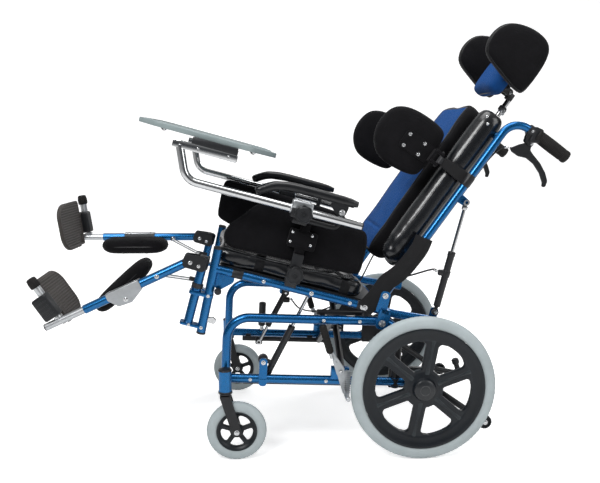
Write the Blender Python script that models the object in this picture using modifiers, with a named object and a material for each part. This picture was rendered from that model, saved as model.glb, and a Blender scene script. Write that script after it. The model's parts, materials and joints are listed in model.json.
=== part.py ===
"""Tilt-in-space and recline positioning wheelchair for a child.

Metres, +Z up. The chair faces -Y and its left side is +X. The origin is on
the floor, under the middle of the whole chair. Every piece is modelled in
the frame that carries it, and in those frames y runs rearwards.
"""
from math import asin, atan2, ceil, cos, pi, radians, sin, sqrt, tan

import bmesh
import bpy
from mathutils import Matrix, Vector

# Clearances
SEAT_GAP = 0.0003
PIN_PLAY = 0.0008
SLIDE_PLAY = 0.0004

WELD = 1e-6
FLUSH = radians(0.1)

# Where the rear axle stands behind the middle of the chair
AXLE_Y = 0.3323

# Rear wheels
REAR_WHEEL_RADIUS = 0.200
REAR_RIM_RADIUS = 0.1686
REAR_TYRE_WIDTH = 0.033
REAR_WHEEL_X = 0.317
REAR_HUB_RADIUS = 0.029
REAR_HUB_WIDTH = 0.052
REAR_WEB_WIDTH = 0.016
REAR_FLANGE_WIDTH = 0.028
REAR_AXLE_RADIUS = 0.008
REAR_SPOKES = 6
REAR_SPOKE_WIDTH = 0.036
REAR_SPOKE_PHASE = radians(22)
WINDOW_INNER = 0.055
WINDOW_OUTER = 0.132

# Casters
CASTER_WHEEL_RADIUS = 0.082
CASTER_RIM_RADIUS = 0.056
CASTER_WIDTH = 0.028
CASTER_TRAIL = 0.0296
CASTER_X = 0.282
CASTER_STEM_RADIUS = 0.0085
CASTER_HOUSING_RADIUS = 0.018
CASTER_HOUSING_LOW = -0.028
CASTER_HOUSING_HIGH = 0.035
CASTER_STEM_HIGH = 0.020
CASTER_LEG_THICKNESS = 0.004
CASTER_LEG_WIDTH = 0.030
CASTER_SPOKES = 5

# Base side frames
BASE_PITCH = radians(2.8)
BASE_X = 0.245
BASE_TUBE = 0.0125
BASE_FRONT = 0.538
BASE_REAR = 0.064
BASE_TOP = 0.165
BASE_LOW = -0.007
BASE_FRONT_DROP = 0.031
BASE_FRONT_BEND = 0.060
BASE_REAR_BEND = 0.050

# Cross brace
BRACE_LOW_X = 0.222
BRACE_TOP_X = 0.205
BRACE_BAR = 0.008
BRACE_ARM = 0.010
BRACE_LOW_DROP = 0.015
BRACE_TOP_RISE = 0.013
BRACE_LOW_FRONT = 0.490
BRACE_LOW_REAR = 0.190
BRACE_TOP_FRONT = 0.290
BRACE_TOP_REAR = 0.160
BRACE_ARM_A = 0.205
BRACE_ARM_B = 0.230

# Tilt
TILT_U = 0.114
TILT_W = 0.163
TILT_BOLT = 0.006
SEAT_ANGLE = radians(15.3)

# Seat frame
SEAT_X = 0.241
SEAT_TUBE = 0.0115
SEAT_RAIL_B = 0.031
SEAT_FRONT_U = 0.480
SEAT_REAR_U = 0.155
HANGER_POST_TUBE = 0.0125
BOARD_LOW = 0.034
BOARD_HIGH = 0.042
BOARD_HALF = SEAT_X - 0.033
CUSHION_HALF = BOARD_HALF + 0.006
CUSHION_HIGH = 0.096
CUSHION_FRONT = 0.482
CUSHION_REAR = 0.070

# Recline
RECLINE_U = 0.011
RECLINE_B = 0.0758
BACK_ANGLE = radians(54.3)
BACK_TUBE = 0.0115
BACK_TOP = 0.596
BACK_BEND = 0.052
HANDLE_END = 0.189
GRIP_START = 0.079
GRIP_RADIUS = 0.018

# Legs
LEG_X = 0.237
LEG_PIVOT_U = 0.549
LEG_PIVOT_B = 0.036
LEG_TUBE = 0.0125
LEG_LENGTH = 0.316
LEG_DROP = {1: radians(24.4), -1: radians(-0.5)}
HANGER_U = 0.515
HANGER_TUBE = 0.0125
HANGER_LOW = -0.130
HANGER_BRACKET_HALF = 0.0165
EXTENSION_TUBE = 0.010
EXTENSION_TAIL = 0.045
EXTENSION_START = 0.200
FOOT_PIN_L = {1: 0.385, -1: 0.361}
FOOT_PIN_LEAN = radians(8.8)
FOOT_FLIP = {1: radians(-11), -1: radians(13)}
CALF_TURN = {1: radians(18), -1: radians(0)}

# Arms and tray
ARM_POST_U = 0.272
ARM_POST_HALF = 0.013
TRAY_TUBE_X = 0.298
TRAY_TUBE = 0.011
TRAY_TUBE_B = 0.247
TRAY_RAIL_B = 0.333
TRAY_RAIL = 0.020
TRAY_BOARD_LOW = TRAY_RAIL_B + 0.027
TRAY_BOARD_THICK = 0.013
TRAY_HALF = 0.290

SIDES = ((1, "left"), (-1, "right"))

# Facets
TUBE_SIDES = 8
BOLT_SIDES = 6
BOSS_SIDES = 8
WHEEL_STEPS = 24
CASTER_STEPS = 14
ROLLER_STEPS = 12
TUBE_STEP = radians(35)
PLATE_STEP = radians(95)
THIN_BAR = 0.0078
LATERAL = Matrix(((0, 0, 1, 0), (1, 0, 0, 0), (0, 1, 0, 0), (0, 0, 0, 1)))

for old in list(bpy.data.objects):
    bpy.data.objects.remove(old)

chair = bpy.data.collections.new("positioning_wheelchair")
bpy.context.scene.collection.children.link(chair)
workbench = bpy.data.collections.new("cutters")
bpy.context.scene.collection.children.link(workbench)


def frame_at(parent, place, turn=0.0):
    """A frame at a place in its parent, turned about the lateral axis."""
    return parent @ Matrix.Translation(Vector(place)) @ Matrix.Rotation(turn, 4, "X")


def level_at(point):
    """A frame at a world point, square to the floor."""
    return Matrix.Translation(point)


WORLD = Matrix.Identity(4)
BASE = frame_at(WORLD, (0, AXLE_Y, REAR_WHEEL_RADIUS), -BASE_PITCH)
SEAT = level_at(BASE @ Vector((0, -TILT_U, TILT_W))) @ Matrix.Rotation(-SEAT_ANGLE, 4, "X")
BACK = level_at(SEAT @ Vector((0, -RECLINE_U, RECLINE_B))) @ Matrix.Rotation(BACK_ANGLE, 4, "X")


# Solids

def to_mesh(source, weld=True):
    """Turn an object and its modifiers into one plain mesh object."""
    bpy.context.view_layer.update()
    evaluated = source.evaluated_get(bpy.context.evaluated_depsgraph_get())
    mesh = bpy.data.meshes.new_from_object(evaluated)
    matrix = source.matrix_world.copy()
    bpy.data.objects.remove(source)
    work = bmesh.new()
    work.from_mesh(mesh)
    bmesh.ops.transform(work, matrix=matrix, verts=work.verts)
    if weld:
        bmesh.ops.remove_doubles(work, verts=work.verts, dist=WELD)
    bmesh.ops.recalc_face_normals(work, faces=work.faces)
    work.to_mesh(mesh)
    work.free()
    solid = bpy.data.objects.new("solid", mesh)
    workbench.objects.link(solid)
    solid.hide_render = True
    solid.display_type = "WIRE"
    return solid


def place(data, matrix):
    """Link new data on the workbench with its world matrix."""
    solid = bpy.data.objects.new("blank", data)
    workbench.objects.link(solid)
    solid.matrix_world = matrix
    return solid


def rounded(points, bend, closed=False, step=TUBE_STEP):
    """Path or outline whose corners are arcs of the given radius."""
    corners = [Vector(p) for p in points]
    count = len(corners)
    bends = bend if isinstance(bend, (list, tuple)) else [bend] * count
    path = []
    for i, corner in enumerate(corners):
        if not closed and i in (0, count - 1):
            path.append(corner)
            continue
        to_last = corners[i - 1] - corner
        to_next = corners[(i + 1) % count] - corner
        turn = pi - to_last.angle(to_next)
        if turn < radians(1) or bends[i] == 0:
            path.append(corner)
            continue
        room = 0.48 * min(to_last.length, to_next.length)
        reach = min(bends[i] * tan(turn / 2), room)
        radius = reach / tan(turn / 2)
        middle = (to_last.normalized() + to_next.normalized()).normalized()
        centre = corner + middle * (radius / cos(turn / 2))
        start = corner + to_last.normalized() * reach - centre
        end = corner + to_next.normalized() * reach - centre
        steps = max(1, ceil(turn / step))
        for k in range(steps + 1):
            share = k / steps
            a = sin((1 - share) * turn) / sin(turn)
            b = sin(share * turn) / sin(turn)
            path.append(centre + start * a + end * b)
    return path


def rod(frame, points, radius, bend=0.0, sides=None):
    """Solid round bar through points of the frame, with fewer flats when thin."""
    sides = sides or (TUBE_SIDES if radius > THIN_BAR else BOLT_SIDES)
    path = rounded(points, bend)
    data = bpy.data.curves.new("rod", "CURVE")
    data.dimensions = "3D"
    data.bevel_depth = radius
    data.bevel_resolution = (sides - 4) // 2
    data.use_fill_caps = True
    spline = data.splines.new("POLY")
    spline.points.add(len(path) - 1)
    for slot, point in zip(spline.points, path):
        slot.co = (*point, 1)
    return to_mesh(place(data, frame))


def bore(frame, points, radius, sides=TUBE_SIDES):
    """Cutter whose flats, not its corners, stand at the given radius."""
    return rod(frame, points, radius / cos(pi / sides), sides=sides)


def sleeve(frame, points, radius):
    """Cutter with the same flats as the bar that slides in it."""
    return rod(frame, points, radius + SLIDE_PLAY, sides=TUBE_SIDES)


def slab(frame, outline, low, high, axis="X", bend=0.0):
    """Flat plate: outline in (y, z) along X, or in (x, y) along Z."""
    points = rounded([(a, b, 0) for a, b in outline], bend, closed=True, step=PLATE_STEP)
    data = bpy.data.curves.new("slab", "CURVE")
    data.dimensions = "2D"
    data.fill_mode = "BOTH"
    data.extrude = abs(high - low) / 2
    spline = data.splines.new("POLY")
    spline.points.add(len(points) - 1)
    for slot, point in zip(spline.points, points):
        slot.co = (point.x, point.y, 0, 1)
    spline.use_cyclic_u = True
    turn = LATERAL if axis == "X" else Matrix.Identity(4)
    lift = Matrix.Translation((0, 0, (low + high) / 2))
    return to_mesh(place(data, frame @ turn @ lift))


def block(frame, centre, size, turn=0.0):
    """Box in the frame, turned about the lateral axis."""
    mesh = bpy.data.meshes.new("block")
    work = bmesh.new()
    bmesh.ops.create_cube(work, size=1.0)
    bmesh.ops.scale(work, vec=[abs(s) for s in size], verts=work.verts)
    work.to_mesh(mesh)
    work.free()
    return to_mesh(place(mesh, frame_at(frame, centre, turn)))


def turned(frame, centre, profile, steps, phase=0.0):
    """Turned shape about a lateral axis: profile of (radius, x), outer end first."""
    mesh = bpy.data.meshes.new("profile")
    closed = profile[0] == profile[-1]
    points = profile[:-1] if closed else profile
    edges = [(i, i + 1) for i in range(len(points) - 1)]
    if closed:
        edges.append((len(points) - 1, 0))
    mesh.from_pydata([(r, 0, x) for r, x in points], edges, [])
    spin = Matrix.Rotation(phase, 4, "Z")
    solid = place(mesh, frame_at(frame, centre) @ LATERAL @ spin)
    screw = solid.modifiers.new("Screw", "SCREW")
    screw.steps = steps
    screw.render_steps = steps
    screw.use_merge_vertices = True
    screw.merge_threshold = 0.00001
    return to_mesh(solid)


def disc(frame, centre, radius, width, sides=BOSS_SIDES):
    """Round boss about a lateral axis, centred on the point."""
    half = width / 2
    profile = [(0, half), (radius, half), (radius, -half), (0, -half)]
    return turned(frame, centre, profile, sides)


def loft(frame, rings):
    """Smoothed closed solid through rings of as many points each."""
    mesh = bpy.data.meshes.new("loft")
    work = bmesh.new()
    loops = [[work.verts.new(point) for point in ring] for ring in rings]
    count = len(loops[0])
    for first, second in zip(loops, loops[1:]):
        for k in range(count):
            after = (k + 1) % count
            work.faces.new((first[k], first[after], second[after], second[k]))
    work.faces.new(loops[0])
    work.faces.new(list(reversed(loops[-1])))
    bmesh.ops.recalc_face_normals(work, faces=work.faces)
    work.to_mesh(mesh)
    work.free()
    solid = place(mesh, frame)
    smooth = solid.modifiers.new("Subdivision", "SUBSURF")
    smooth.levels = 1
    smooth.render_levels = 1
    return to_mesh(solid)


def pillow(frame, outline, low, high, axis="X", soft=0.62):
    """Padded solid between two levels: its outline is drawn in at both faces."""
    points = [Vector((a, b, 0)) for a, b in outline]
    centre = sum(points, Vector()) / len(points)
    rings = []
    for scale, level in ((soft, 0.0), (1.0, 0.24), (1.0, 0.74), (soft, 1.0)):
        lift = Vector((0, 0, low + level * (high - low)))
        rings.append([centre + (point - centre) * scale + lift for point in points])
    return loft(frame @ LATERAL if axis == "X" else frame, rings)


def join(solids, cuts=(), solver="EXACT"):
    """One closed solid from overlapping solids, less the cutters.

    MANIFOLD is asked for where many flush faces meet, which EXACT leaves open.
    """
    body = solids[0]
    for label, others, operation in (("add", solids[1:], "UNION"), ("cut", cuts, "DIFFERENCE")):
        if not others:
            continue
        group = bpy.data.collections.new(label)
        bpy.context.scene.collection.children.link(group)
        for other in others:
            group.objects.link(other)
        boolean = body.modifiers.new(label, "BOOLEAN")
        boolean.operation = operation
        boolean.operand_type = "COLLECTION"
        boolean.collection = group
        boolean.solver = solver
        body = to_mesh(body, weld=False)
        for other in list(others):
            bpy.data.objects.remove(other)
        bpy.data.collections.remove(group)
    work = bmesh.new()
    work.from_mesh(body.data)
    bmesh.ops.dissolve_limit(work, angle_limit=FLUSH, verts=work.verts, edges=work.edges)
    work.to_mesh(body.data)
    work.free()
    return body


FINISHES = {
    "blue": ((0.010, 0.090, 0.290), 0.28, 0.85),
    "black": ((0.012, 0.013, 0.015), 0.45, 0.0),
    "plastic": ((0.016, 0.018, 0.020), 0.50, 0.0),
    "chrome": ((0.72, 0.73, 0.75), 0.12, 1.0),
    "silver": ((0.50, 0.52, 0.54), 0.35, 0.9),
    "tyre": ((0.43, 0.47, 0.48), 0.70, 0.0),
    "leather": ((0.010, 0.010, 0.012), 0.30, 0.0),
    "fabric": ((0.012, 0.060, 0.210), 0.90, 0.0),
    "foot": ((0.070, 0.060, 0.055), 0.60, 0.0),
    "board": ((0.30, 0.35, 0.36), 0.40, 0.0),
    "grip": ((0.010, 0.011, 0.012), 0.75, 0.0),
}


def piece(name, solid, finish, frame):
    """Name a solid, give it its material and hang it from its frame."""
    colour, roughness, metallic = FINISHES[finish]
    material = bpy.data.materials.new(name)
    material.use_nodes = True
    shader = material.node_tree.nodes["Principled BSDF"]
    shader.inputs["Base Color"].default_value = (*colour, 1)
    shader.inputs["Roughness"].default_value = roughness
    shader.inputs["Metallic"].default_value = metallic
    solid.data.transform(frame.inverted())
    solid.name = name
    solid.data.name = name
    solid.data.materials.clear()
    solid.data.materials.append(material)
    solid.data.shade_smooth()
    solid.data.set_sharp_from_angle(angle=radians(32))
    solid.matrix_world = frame
    workbench.objects.unlink(solid)
    chair.objects.link(solid)
    solid.hide_render = False
    solid.display_type = "TEXTURED"
    return solid


def polar(radius, angle):
    return radius * cos(angle), radius * sin(angle)


def wheel_windows(frame, centre, inner, outer, spoke, count, phase, width, corner):
    """Cutters for the openings between the spokes of a moulded wheel."""
    half_turn = pi / count
    low = half_turn - asin(spoke / 2 / inner)
    high = half_turn - asin(spoke / 2 / outer)
    cutters = []
    for k in range(count):
        middle = phase + half_turn + k * 2 * half_turn
        outline = [polar(inner, middle - low), polar(outer, middle - high),
                   polar(outer * 1.05, middle), polar(outer, middle + high),
                   polar(inner, middle + low)]
        bends = [corner, corner, 0, corner, corner]
        cutters.append(slab(frame_at(frame, centre), outline, -width, width, bend=bends))
    return cutters


# Base

def caster_frame(side):
    """Square to the floor, with its origin on the caster's stem."""
    return level_at(BASE @ Vector((side * CASTER_X, -BASE_FRONT, BASE_LOW)))


def caster_axle():
    """The caster axle in the caster's frame."""
    stem = BASE @ Vector((0, -BASE_FRONT, BASE_LOW))
    return Vector((0, CASTER_TRAIL, CASTER_WHEEL_RADIUS - stem.z))


LOCK_PIVOT = (0.222, 0.030)
LOCK_PLATE_X = 0.2645
ANTI_TIP_AXLE = (0.2041, -0.1202)
ANTI_TIP_RADIUS = 0.020
ANTI_TIP_WIDTH = 0.016
ANTI_TIP_TUBE_X = 0.224
ANTI_TIP_TUBE = 0.009
ANTI_TIP_PIN = 0.0035
STRUT_CYLINDER = 0.0095
STRUT_ROD = 0.005
STRUT_PIN = 0.0042
LEFT_STRUT_X = SEAT_X - 0.0195
LEFT_EYE = (0.4356, 0.0428)
EYE_RADIUS = 0.014


def base_frame(side, word):
    x = side * BASE_X
    solids = [
        rod(BASE, [(x, -BASE_FRONT, BASE_LOW - BASE_FRONT_DROP), (x, -BASE_FRONT, BASE_TOP),
                   (x, -BASE_REAR, BASE_TOP), (x, -BASE_REAR, BASE_LOW - 0.013)],
            BASE_TUBE, [0, BASE_FRONT_BEND, BASE_REAR_BEND, 0]),
        rod(BASE, [(x, -BASE_FRONT, BASE_LOW), (x, -0.014, BASE_LOW)], BASE_TUBE),
        block(BASE, (side * 0.2365, -0.028, 0.004), (0.014, 0.106, 0.062)),
    ]
    hub_back = REAR_WHEEL_X - REAR_HUB_WIDTH / 2
    axle_end = REAR_WHEEL_X + REAR_HUB_WIDTH / 2 - 0.014
    solids.append(rod(BASE, [(side * 0.236, 0, 0), (side * axle_end, 0, 0)], REAR_AXLE_RADIUS))
    solids.append(rod(BASE, [(side * 0.238, 0, 0), (side * (hub_back - 0.0005), 0, 0)], 0.014))
    stem = caster_frame(side)
    solids.append(rod(stem, [(0, 0, CASTER_HOUSING_LOW), (0, 0, CASTER_HOUSING_HIGH)],
                      CASTER_HOUSING_RADIUS))
    lug = side * (BASE_X + CASTER_X) / 2
    solids.append(block(BASE, (lug, -BASE_FRONT, BASE_LOW + 0.004), (0.026, 0.020, 0.046)))
    cuts = [bore(stem, [(0, 0, CASTER_HOUSING_LOW - 0.01), (0, 0, CASTER_STEM_HIGH + 0.001)],
                CASTER_STEM_RADIUS + PIN_PLAY)]
    # The lock bracket stands on the lower rail and carries the lever's pin
    lock_y, lock_z = -LOCK_PIVOT[0], LOCK_PIVOT[1]
    solids.append(block(BASE, (side * 0.2500, lock_y, 0.018), (0.022, 0.050, 0.036)))
    solids.append(rod(BASE, [(side * 0.250, lock_y, lock_z - 0.004),
                             (side * (LOCK_PLATE_X + 0.0075), lock_y, lock_z - 0.004)], 0.0045))
    # Anti-tip tube: the right one goes on to a foot pedal, the left one ends behind its wheel
    tube_x = side * ANTI_TIP_TUBE_X
    bar = [(tube_x, -0.030, 0.004), (tube_x, 0.020, -0.008), (tube_x, 0.190, -0.116)]
    bar += [(tube_x, 0.2686, -0.129), (tube_x, 0.2502, -0.081)] if side < 0 else [(tube_x, 0.2200, -0.121)]
    solids.append(rod(BASE, bar, ANTI_TIP_TUBE, 0.022))
    if side < 0:
        solids.append(rod(BASE, [(tube_x, 0.2560, -0.0955), (tube_x, 0.2490, -0.0770)], 0.012))
    axle_y, axle_z = ANTI_TIP_AXLE
    wheel_out = BASE_X + ANTI_TIP_WIDTH / 2
    solids.append(rod(BASE, [(tube_x, axle_y, axle_z), (side * (wheel_out + 0.003), axle_y, axle_z)],
                      ANTI_TIP_PIN))
    solids.append(rod(BASE, [(side * (wheel_out + 0.0006), axle_y, axle_z),
                             (side * (wheel_out + 0.004), axle_y, axle_z)], 0.007))
    # Saddles that hold the cross brace
    for u in (0.175, 0.275):
        saddle = side * (BRACE_TOP_X + BRACE_BAR + SEAT_GAP + 0.236) / 2
        width = 0.236 - (BRACE_TOP_X + BRACE_BAR + SEAT_GAP)
        solids.append(block(BASE, (saddle, -u, BASE_TOP + 0.002), (width, 0.016, 0.014)))
    for u in (0.26, 0.47):
        low_x = BRACE_LOW_X + BRACE_BAR + SEAT_GAP
        solids.append(block(BASE, (side * (low_x + 0.238) / 2, -u, BASE_LOW - 0.008),
                            (0.238 - low_x, 0.018, 0.014)))
    # Tilt bolt
    solids.append(rod(BASE, [(x, -TILT_U, TILT_W), (side * 0.2680, -TILT_U, TILT_W)], TILT_BOLT))
    solids.append(rod(BASE, [(side * 0.2642, -TILT_U, TILT_W), (side * 0.2690, -TILT_U, TILT_W)], 0.010))
    if side > 0:
        solids += left_strut_bracket()
    else:
        solids.append(rod(BASE, [(x, -0.4254, BASE_LOW), (x, -0.4254, 0.025)], 0.007))
        solids.append(rod(BASE, [(x, -0.4254, 0.018), (x, -0.4254, 0.0994)], 0.012))
    piece("base_frame_" + word, join(solids, cuts, "MANIFOLD"), "blue", BASE)


def left_strut_bracket():
    """Clamp on the left lower rail whose bolt carries the tilt strut's eye."""
    u, w = LEFT_EYE
    plate = slab(BASE, [(-u - 0.011, BASE_LOW - 0.017), (-u + 0.011, BASE_LOW - 0.017),
                        (-u + 0.011, w + 0.012), (-u - 0.011, w + 0.012)], 0.2535, 0.2600, bend=0.006)
    bolt = rod(BASE, [(0.2560, -u, w), (LEFT_STRUT_X - 0.008, -u, w)], STRUT_PIN)
    head = rod(BASE, [(0.2560, -u, w), (0.2635, -u, w)], 0.0065)
    return [plate, bolt, head]


def cross_brace():
    low = BASE_LOW - BRACE_LOW_DROP
    top = BASE_TOP + BRACE_TOP_RISE - 0.001
    solids = []
    for side, _ in SIDES:
        solids.append(rod(BASE, [(side * BRACE_LOW_X, -BRACE_LOW_FRONT, low),
                                 (side * BRACE_LOW_X, -BRACE_LOW_REAR, low)], BRACE_BAR))
        solids.append(rod(BASE, [(side * BRACE_TOP_X, -BRACE_TOP_FRONT, top),
                                 (side * BRACE_TOP_X, -BRACE_TOP_REAR, top)], BRACE_BAR))
    for lean, u in ((1, BRACE_ARM_A), (-1, BRACE_ARM_B)):
        solids.append(rod(BASE, [(lean * BRACE_LOW_X, -u, low), (-lean * BRACE_TOP_X, -u, top)], BRACE_ARM))
    middle = (low + top) / 2
    solids.append(rod(BASE, [(0, -BRACE_ARM_A + 0.013, middle), (0, -BRACE_ARM_B - 0.013, middle)], 0.006))
    u, w = RIGHT_FOOT
    plate_x = -(RIGHT_STRUT_X + 0.0098)
    solids.append(slab(BASE, [(-u - 0.012, w - 0.012), (-u + 0.012, w - 0.012),
                              (-u + 0.012, low + 0.008), (-u - 0.012, low + 0.008)],
                       plate_x - 0.0062, plate_x, bend=0.004))
    piece("cross_brace", join(solids), "black", BASE)


RIGHT_STRUT_X = SEAT_X - 0.041
RIGHT_FOOT = (0.434, -0.0275)
RIGHT_HEAD = (0.228, -0.070)
LEFT_HEAD = (0.210, 0.031)


def mirrored(profile):
    """The other half of a turned profile."""
    return [(r, -x) for r, x in reversed(profile)]


def tyre_profile(outer, inner, width, shoulder):
    """Closed cross-section of a tyre, as (radius, x), from its outer end."""
    half = width / 2
    upper = [(inner, half * 0.85), (outer - shoulder, half), (outer, half * 0.45)]
    return upper + mirrored(upper) + upper[:1]


def rear_wheel(side, word):
    centre = (side * REAR_WHEEL_X, 0, 0)
    flange = REAR_FLANGE_WIDTH / 2
    web = REAR_WEB_WIDTH / 2
    hub = REAR_HUB_WIDTH / 2
    outer = [(0, hub), (REAR_HUB_RADIUS * 0.90, hub), (REAR_HUB_RADIUS + 0.003, web),
             (WINDOW_OUTER + 0.010, web), (REAR_RIM_RADIUS, flange)]
    rim = turned(BASE, centre, outer + mirrored(outer), WHEEL_STEPS)
    cuts = wheel_windows(BASE, centre, WINDOW_INNER, WINDOW_OUTER, REAR_SPOKE_WIDTH,
                         REAR_SPOKES, REAR_SPOKE_PHASE, REAR_HUB_WIDTH, 0.008)
    bore_in = side * (REAR_WHEEL_X - hub - 0.01)
    bore_end = side * (REAR_WHEEL_X + hub - 0.013)
    cuts.append(bore(BASE, [(bore_in, 0, 0), (bore_end, 0, 0)], REAR_AXLE_RADIUS + PIN_PLAY))
    piece("rear_rim_" + word, join([rim], cuts), "plastic", BASE @ Matrix.Translation(centre))
    tyre = turned(BASE, centre, tyre_profile(REAR_WHEEL_RADIUS, REAR_RIM_RADIUS + SEAT_GAP,
                                             REAR_TYRE_WIDTH, 0.011), WHEEL_STEPS)
    piece("rear_tyre_" + word, tyre, "tyre", BASE @ Matrix.Translation(centre))


def caster(side, word):
    stem = caster_frame(side)
    axle = caster_axle()
    inner = CASTER_WIDTH / 2 + 0.0022
    outer = inner + CASTER_LEG_THICKNESS
    crown_top = CASTER_HOUSING_LOW - SEAT_GAP
    crown_low = crown_top - 0.010
    half = CASTER_LEG_WIDTH / 2
    tip = CASTER_LEG_WIDTH * 0.43
    solids = [block(stem, (0, 0, (crown_top + crown_low) / 2), (2 * outer, 2 * half, 0.010)),
              rod(stem, [(0, 0, crown_low), (0, 0, CASTER_STEM_HIGH)], CASTER_STEM_RADIUS)]
    lean = atan2(axle.y, crown_top - axle.z)
    ring = [(axle.y + tip * cos(a), axle.z + tip * sin(a))
            for a in [lean - radians(180) + radians(45) * k for k in range(5)]]
    outline = [(-half, crown_top - 0.0005), (-half, crown_low)] + ring + [(half, crown_low),
                                                                          (half, crown_top - 0.0005)]
    for lateral in (-1, 1):
        low, high = sorted((lateral * inner, lateral * outer))
        solids.append(slab(stem, outline, low, high))
    solids.append(rod(stem, [(-outer - 0.004, axle.y, axle.z), (outer + 0.004, axle.y, axle.z)],
                      0.0045))
    for lateral in (-1, 1):
        solids.append(rod(stem, [(lateral * (outer - 0.001), axle.y, axle.z),
                                 (lateral * (outer + 0.004), axle.y, axle.z)], 0.0075))
    piece("caster_fork_" + word, join(solids), "black", stem)
    wheel = turned(stem, axle, caster_profile(), CASTER_STEPS)
    cuts = wheel_windows(stem, axle, 0.021, 0.044, 0.013, CASTER_SPOKES, radians(90 - 72),
                         CASTER_WIDTH, 0)
    cuts.append(bore(stem, [(-0.03, axle.y, axle.z), (0.03, axle.y, axle.z)], 0.0045 + PIN_PLAY))
    piece("caster_wheel_" + word, join([wheel], cuts), "tyre", stem @ Matrix.Translation(axle))


def caster_profile():
    """Tyre and rim of a caster as one turned section, (radius, x)."""
    r, half = CASTER_WHEEL_RADIUS, CASTER_WIDTH / 2
    upper = [(0, half * 0.93), (0.014, half * 0.93), (0.017, half * 0.45), (0.046, half * 0.45),
             (CASTER_RIM_RADIUS, half * 0.95), (r, half * 0.45)]
    return upper + mirrored(upper)


def wheel_lock(side, word):
    pivot_y, pivot_z = -LOCK_PIVOT[0], LOCK_PIVOT[1] - 0.004
    x = side * (LOCK_PLATE_X + 0.0050)
    inner, outer = side * 0.2615, side * 0.2665
    low, high = sorted((inner, outer))
    shoe_y, shoe_z = -0.2055, -0.0350
    top_y, top_z = -0.2540, 0.0830
    plate = slab(BASE, [(pivot_y - 0.011, pivot_z - 0.004), (shoe_y - 0.007, shoe_z - 0.004),
                        (shoe_y + 0.006, shoe_z - 0.006), (pivot_y + 0.012, pivot_z),
                        (pivot_y + 0.004, pivot_z + 0.012), (top_y + 0.006, top_z),
                        (top_y - 0.006, top_z), (pivot_y - 0.009, pivot_z + 0.010)],
                 low, high, bend=0.003)
    grip = rod(BASE, [(x, top_y + 0.004, top_z - 0.012), (x, -0.2800, 0.1560)], 0.0105)
    shoe = rod(BASE, [(side * 0.262, shoe_y, shoe_z), (side * 0.326, shoe_y, shoe_z)], 0.006)
    hole = bore(BASE, [(side * 0.255, pivot_y, pivot_z), (side * 0.280, pivot_y, pivot_z)],
               0.0045 + PIN_PLAY)
    piece("wheel_lock_lever_" + word, join([plate, grip, shoe], [hole]), "silver",
          BASE @ Matrix.Translation((x, pivot_y, pivot_z)))


def anti_tip_wheel(side, word):
    y, z = ANTI_TIP_AXLE
    centre = (side * BASE_X, y, z)
    half = ANTI_TIP_WIDTH / 2
    r = ANTI_TIP_RADIUS
    wheel = turned(BASE, centre, [(0, half), (r - 0.003, half), (r, half - 0.003),
                                  (r, -half + 0.003), (r - 0.003, -half), (0, -half)], ROLLER_STEPS)
    hole = bore(BASE, [(side * 0.2, y, z), (side * 0.28, y, z)], ANTI_TIP_PIN + PIN_PLAY)
    piece("anti_tip_wheel_" + word, join([wheel], [hole]), "plastic", BASE @ Matrix.Translation(centre))


# Tilt struts

def strut_axis(low, high):
    """Unit vector from one point to another."""
    return (high - low).normalized()


def left_tilt_strut():
    eye = BASE @ Vector((LEFT_STRUT_X, -LEFT_EYE[0], LEFT_EYE[1]))
    head = SEAT @ Vector((LEFT_STRUT_X, -LEFT_HEAD[0], LEFT_HEAD[1]))
    offset = 0.0300
    reach = sqrt((head - eye).length_squared - offset ** 2)
    straight = strut_axis(eye, head)
    swing = asin(offset / (head - eye).length)
    direction = Matrix.Rotation(swing, 3, "X") @ straight
    across = Vector((0, direction.z, -direction.y))
    low = eye + across * offset - direction * 0.034
    top = low + direction * 0.155
    cylinder = rod(WORLD, [low, top], STRUT_CYLINDER)
    boss = disc(WORLD, eye, EYE_RADIUS, 0.014)
    arm = rod(WORLD, [eye, eye + across * offset], 0.0065)
    hole = bore(WORLD, [low + direction * 0.020, top + direction * 0.01], STRUT_ROD + PIN_PLAY)
    pin = bore(WORLD, [eye - Vector((0.02, 0, 0)), eye + Vector((0.02, 0, 0))], STRUT_PIN + PIN_PLAY)
    frame = level_at(eye)
    piece("tilt_cylinder_left", join([cylinder, boss, arm], [hole, pin]), "black", frame)
    foot = low + direction * 0.071
    rod_end = low + direction * (reach + 0.034)
    bar = rod(WORLD, [foot, rod_end - direction * 0.004], STRUT_ROD)
    eye_disc = disc(WORLD, rod_end, 0.009, 0.011)
    piece("tilt_rod_left", join([bar, eye_disc]), "silver", level_at(rod_end))


def right_tilt_strut():
    foot = BASE @ Vector((-RIGHT_STRUT_X, -RIGHT_FOOT[0], RIGHT_FOOT[1]))
    head = SEAT @ Vector((-RIGHT_STRUT_X, -RIGHT_HEAD[0], RIGHT_HEAD[1]))
    down = strut_axis(head, foot)
    length = (foot - head).length
    barrel = 0.128
    cylinder = rod(WORLD, [head, head + down * barrel], STRUT_CYLINDER)
    boss = disc(WORLD, head, 0.012, 0.018)
    rear = Vector((0, -down.z, down.y))
    release = block(WORLD, head + down * 0.020 + rear * 0.014, (0.014, 0.022, 0.018))
    hole = bore(WORLD, [head + down * 0.022, head + down * (barrel + 0.01)], STRUT_ROD + PIN_PLAY)
    pin = bore(WORLD, [head - Vector((0.02, 0, 0)), head + Vector((0.02, 0, 0))], STRUT_PIN + PIN_PLAY)
    piece("tilt_cylinder_right", join([cylinder, boss, release], [hole, pin]), "black", level_at(head))
    bar = rod(WORLD, [head + down * 0.068, foot - down * 0.004], STRUT_ROD)
    eye_disc = disc(WORLD, foot, 0.009, 0.011)
    piece("tilt_rod_right", join([bar, eye_disc]), "silver", level_at(foot))


# Seat

RIGHT_PLATE_X = SEAT_X - 0.0285
RECLINE_FOOT = (0.1412, 0.064)
RECLINE_EAR = (0.337, -0.033)


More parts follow.
